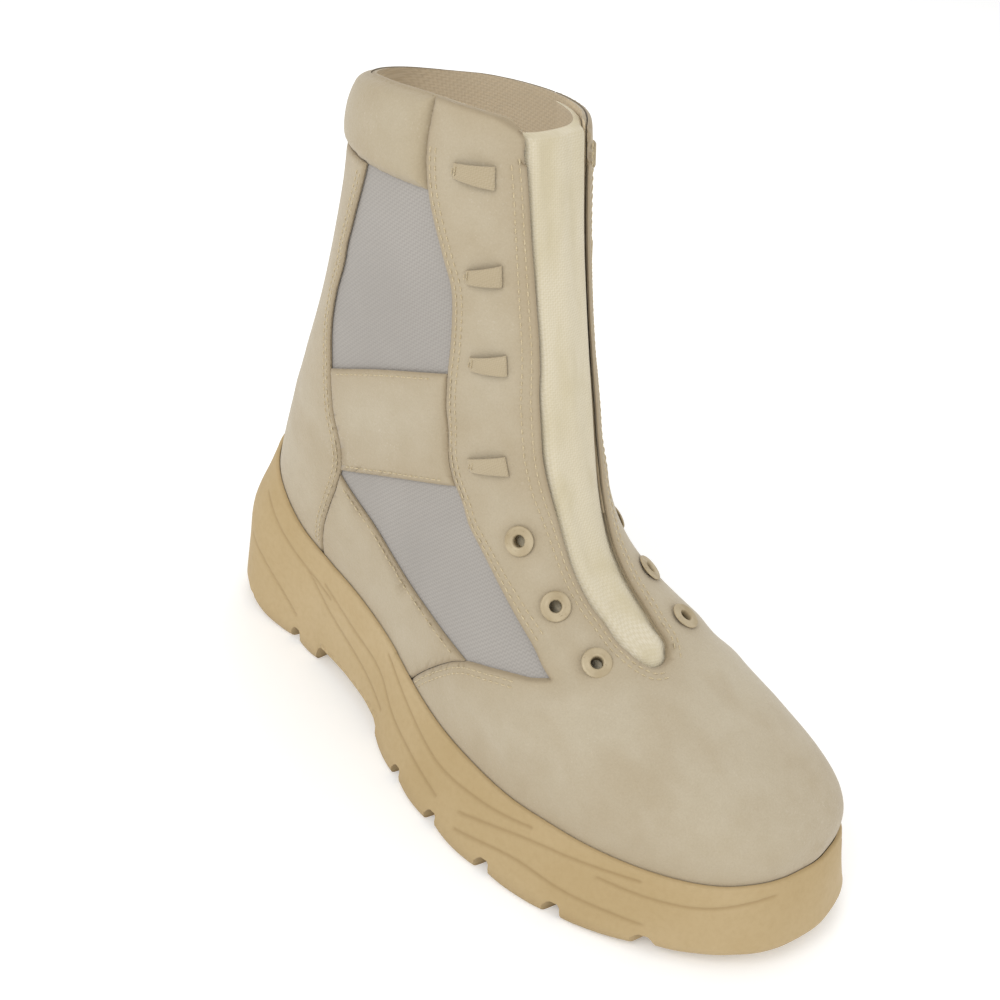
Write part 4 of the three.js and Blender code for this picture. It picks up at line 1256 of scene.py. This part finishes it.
# Round a loop's strap: shares of its half width and of its thickness.
LOOP_EDGE = [(-1, 0.15), (-0.9, 0), (0.9, 0), (1, 0.15), (1, 0.85), (0.9, 1), (-0.9, 1), (-1, 0.85)]


def loop_half(t):
    """Half of a loop's width, a share of the way from its back end."""
    return (LOOP_NARROW + (LOOP_WIDE - LOOP_NARROW) * t) / 2


def loop_arch(t):
    return LOOP_RISE * math.sin(math.pi * t) ** 0.6


def loop_block(place, inner):
    """A lace loop: a flat strap that arches from its slot at the back to the one by the throat."""
    back_x, back_z, front_x, front_z = place
    ends = in_plane([(back_x, back_z), (front_x, front_z)])
    (v0, v1), (u0, u1) = seat(ends, sideways, False, 0, (0.25, 0.5))
    base = FIT + LEATHER + 0.1
    rings = []
    for t in np.linspace(0, 1, 25):
        v, u = v0 + (v1 - v0) * t, u0 + (u1 - u0) * t
        per_row = np.linalg.norm(skin(v + 0.1, u) - skin(v - 0.1, u)) / 0.2
        half = loop_half(t) / per_row
        arch = loop_arch(t)
        turn = 1 - u if inner else u
        ring = []
        for row, high in LOOP_EDGE:
            point, _ = on_boot(np.array([v + row * half]), np.array([turn]), base + arch + high * LOOP_STRAP)
            ring.append(point[0])
        rings.append(ring)
    return np.array(rings).reshape(-1, 3), ring_faces(25, 8)


for inner in (False, True):
    for number, place in enumerate(LOOPS):
        name = f"lace_loop_{'inner' if inner else 'outer'}_{number + 1}"
        mesh = joined_mesh(name, [loop_block(place, inner)])
        if inner:
            mesh.flip_normals()
        worn(placed(f"{name}_fine", mesh, [webbing]), name)


def stitch_row(line, seen, inner, height, turns=(0.0, 0.5), pitch=3.1, length=2.3, thick=0.55):
    """Stitches sewn along a line that is drawn as seen, at a height over the last."""
    v, u = seat(line, seen, inner, height, turns)
    reached = np.linalg.norm(seen(skin(v, u) + skin_normal(v, u) * height) - line, axis=1) < 0.6
    v, u = v[reached], u[reached]
    if len(v) < 3:
        return []
    points, _ = on_boot(v, u, height)
    steps = np.linalg.norm(np.diff(points, axis=0), axis=1)
    length_at = np.concatenate([[0], np.cumsum(steps)])
    blocks = []
    for start in np.arange(0.5, length_at[-1] - length, pitch):
        t = start + np.array([0, 0.12, 0.5, 0.88, 1]) * length
        if np.any(np.interp(t[-1], length_at[1:], steps) > 8):
            continue
        row, turn = np.interp(t, length_at, v), np.interp(t, length_at, u)
        middle, normal = on_boot(row, turn, height + np.array([-0.35, 0.0, 0.1, 0.0, -0.35]))
        along = np.gradient(middle, axis=0)
        along /= np.linalg.norm(along, axis=1, keepdims=True)
        across = np.cross(normal, along)
        angles = np.linspace(0, 2 * np.pi, 6, endpoint=False)
        size = np.array([0.45, 0.9, 1, 0.9, 0.45]) * thick / 2
        cos, sin = np.cos(angles)[None, :, None], np.sin(angles)[None, :, None]
        ring = across[:, None] * cos * 1.15 + normal[:, None] * sin
        blocks.append(((middle[:, None] + ring * size[:, None, None]).reshape(-1, 3), ring_faces(5, 6)))
    return blocks


top = FIT + LEATHER + 0.04


def row_beside(seam, inset, floor_z=0, ceiling_z=FAR_TOP):
    """A stitch row's line beside a seam, between two heights."""
    line = moved(curved(in_plane(seam), 14), inset)
    return line[(line[:, 1] > floor_z) & (line[:, 1] < ceiling_z)]


rows = []
for inner in (False, True):
    for inset in STITCH_INSETS:
        for row in (row_beside(FACING_SEAM, -inset, 0, 0.955 * SHAFT_HEIGHT)[:-6],
                    row_beside(VAMP_SEAM, -inset, 38)[6:],
                    row_beside(COUNTER_SEAM, inset, 56, 0.872 * SHAFT_HEIGHT)):
            rows += stitch_row(row, sideways, inner, top)
    for seam, inset in ((BAND_TOP_SEAM, 2.2), (BAND_FOOT_SEAM, -2.2), (QUARTER_SEAM, 2.2)):
        line = moved(curved(in_plane(seam), 20), inset)
        ahead = np.interp(line[:, 1], facing_seam[::-1][:, 1], facing_seam[::-1][:, 0])
        back = np.interp(line[:, 1], counter_seam[::-1][:, 1], counter_seam[::-1][:, 0])
        line = line[(line[:, 0] > back + 3) & (line[:, 0] < ahead - 3)]
        rows += stitch_row(line, sideways, inner, top)
    for inset in STITCH_INSETS:
        edge = moved(throat_edge, inset)
        half = edge[len(edge) // 2:] if inner else edge[:len(edge) // 2][::-1]
        half = half[half @ (0, 1) < head_on(np.array([0.418 * UPPER_LENGTH, 0, 0.975 * SHAFT_HEIGHT]))[1]]
        rows += stitch_row(half, head_on, inner, top, (0.3, 0.5))
    for back_x, back_z, front_x, front_z in LOOPS:
        ends = in_plane([(back_x, back_z), (front_x, front_z)])
        for t in (0.1, 0.2, 0.82, 0.92):
            middle = ends[0] + (ends[1] - ends[0]) * t
            half = loop_half(t) - 0.9
            across = middle + np.linspace(-half, half, 9)[:, None] * (0, 1)
            high = top - 0.1 + LOOP_STRAP + loop_arch(t)
            rows += stitch_row(across, sideways, inner, high, pitch=1.15, length=1.0, thick=0.4)
if rows:
    worn(placed("seam_stitches", joined_mesh("seam_stitches", rows), [thread]))


# Camera, floor and light.

def aim(location, target, roll):
    """A camera at the photograph's place, turned about its own line of sight."""
    data = bpy.data.cameras.new("camera")
    data.lens = 52.55
    data.sensor_width = 36
    camera = bpy.data.objects.new("camera", data)
    bpy.context.scene.collection.objects.link(camera)
    back = (Vector(location) - Vector(target)).normalized()
    right = Vector((0, 0, 1)).cross(back).normalized()
    up = back.cross(right)
    turn = math.radians(roll)
    x_axis = right * math.cos(turn) + up * math.sin(turn)
    y_axis = up * math.cos(turn) - right * math.sin(turn)
    camera.matrix_world = Matrix.Translation(location) @ Matrix((x_axis, y_axis, back)).transposed().to_4x4()
    bpy.context.scene.camera = camera


def pale_floor():
    mesh = bpy.data.meshes.new("floor")
    shape = bmesh.new()
    bmesh.ops.create_grid(shape, x_segments=8, y_segments=8, size=30)
    shape.to_mesh(mesh)
    shape.free()
    finish = Finish("pale_floor", Specular_IOR_Level=0.2, Emission_Strength=0.16)
    shade = finish.noise(3, 2)
    colour = finish.mix(shade, tone(252, 252, 251), tone(248, 248, 247))
    finish.feed(Base_Color=colour, Emission_Color=colour, Roughness=0.9 + 0.05 * shade)
    mesh.materials.append(finish.material)
    floor = bpy.data.objects.new("floor", mesh)
    bpy.context.scene.collection.objects.link(floor)


def soft_light(name, location, target, size, power):
    data = bpy.data.lights.new(name, "AREA")
    data.shape = "DISK"
    data.size = size
    data.energy = power
    lamp = bpy.data.objects.new(name, data)
    bpy.context.scene.collection.objects.link(lamp)
    lamp.location = location
    lamp.rotation_euler = (Vector(target) - Vector(location)).to_track_quat("-Z", "Y").to_euler()


aim((0.302843, -0.36907, 0.42507), (-0.018207, 0.00086, 0.11132), 8.88)
pale_floor()
soft_light("key", (0.1, -1.1, 1.2), (0, 0, 0.1), 0.9, 7.6)
soft_light("fill", (1.2, 0.3, 0.8), (0, 0, 0.1), 1.1, 2.8)
soft_light("back", (-0.8, 0.9, 1.1), (0, 0, 0.12), 0.9, 3)
world = bpy.data.worlds.new("studio")
bpy.context.scene.world = world
world.use_nodes = True
world.node_tree.nodes["Background"].inputs[0].default_value = (1.0, 1.0, 1.0, 1)
world.node_tree.nodes["Background"].inputs[1].default_value = 0.79
bpy.context.scene.view_settings.view_transform = "Standard"
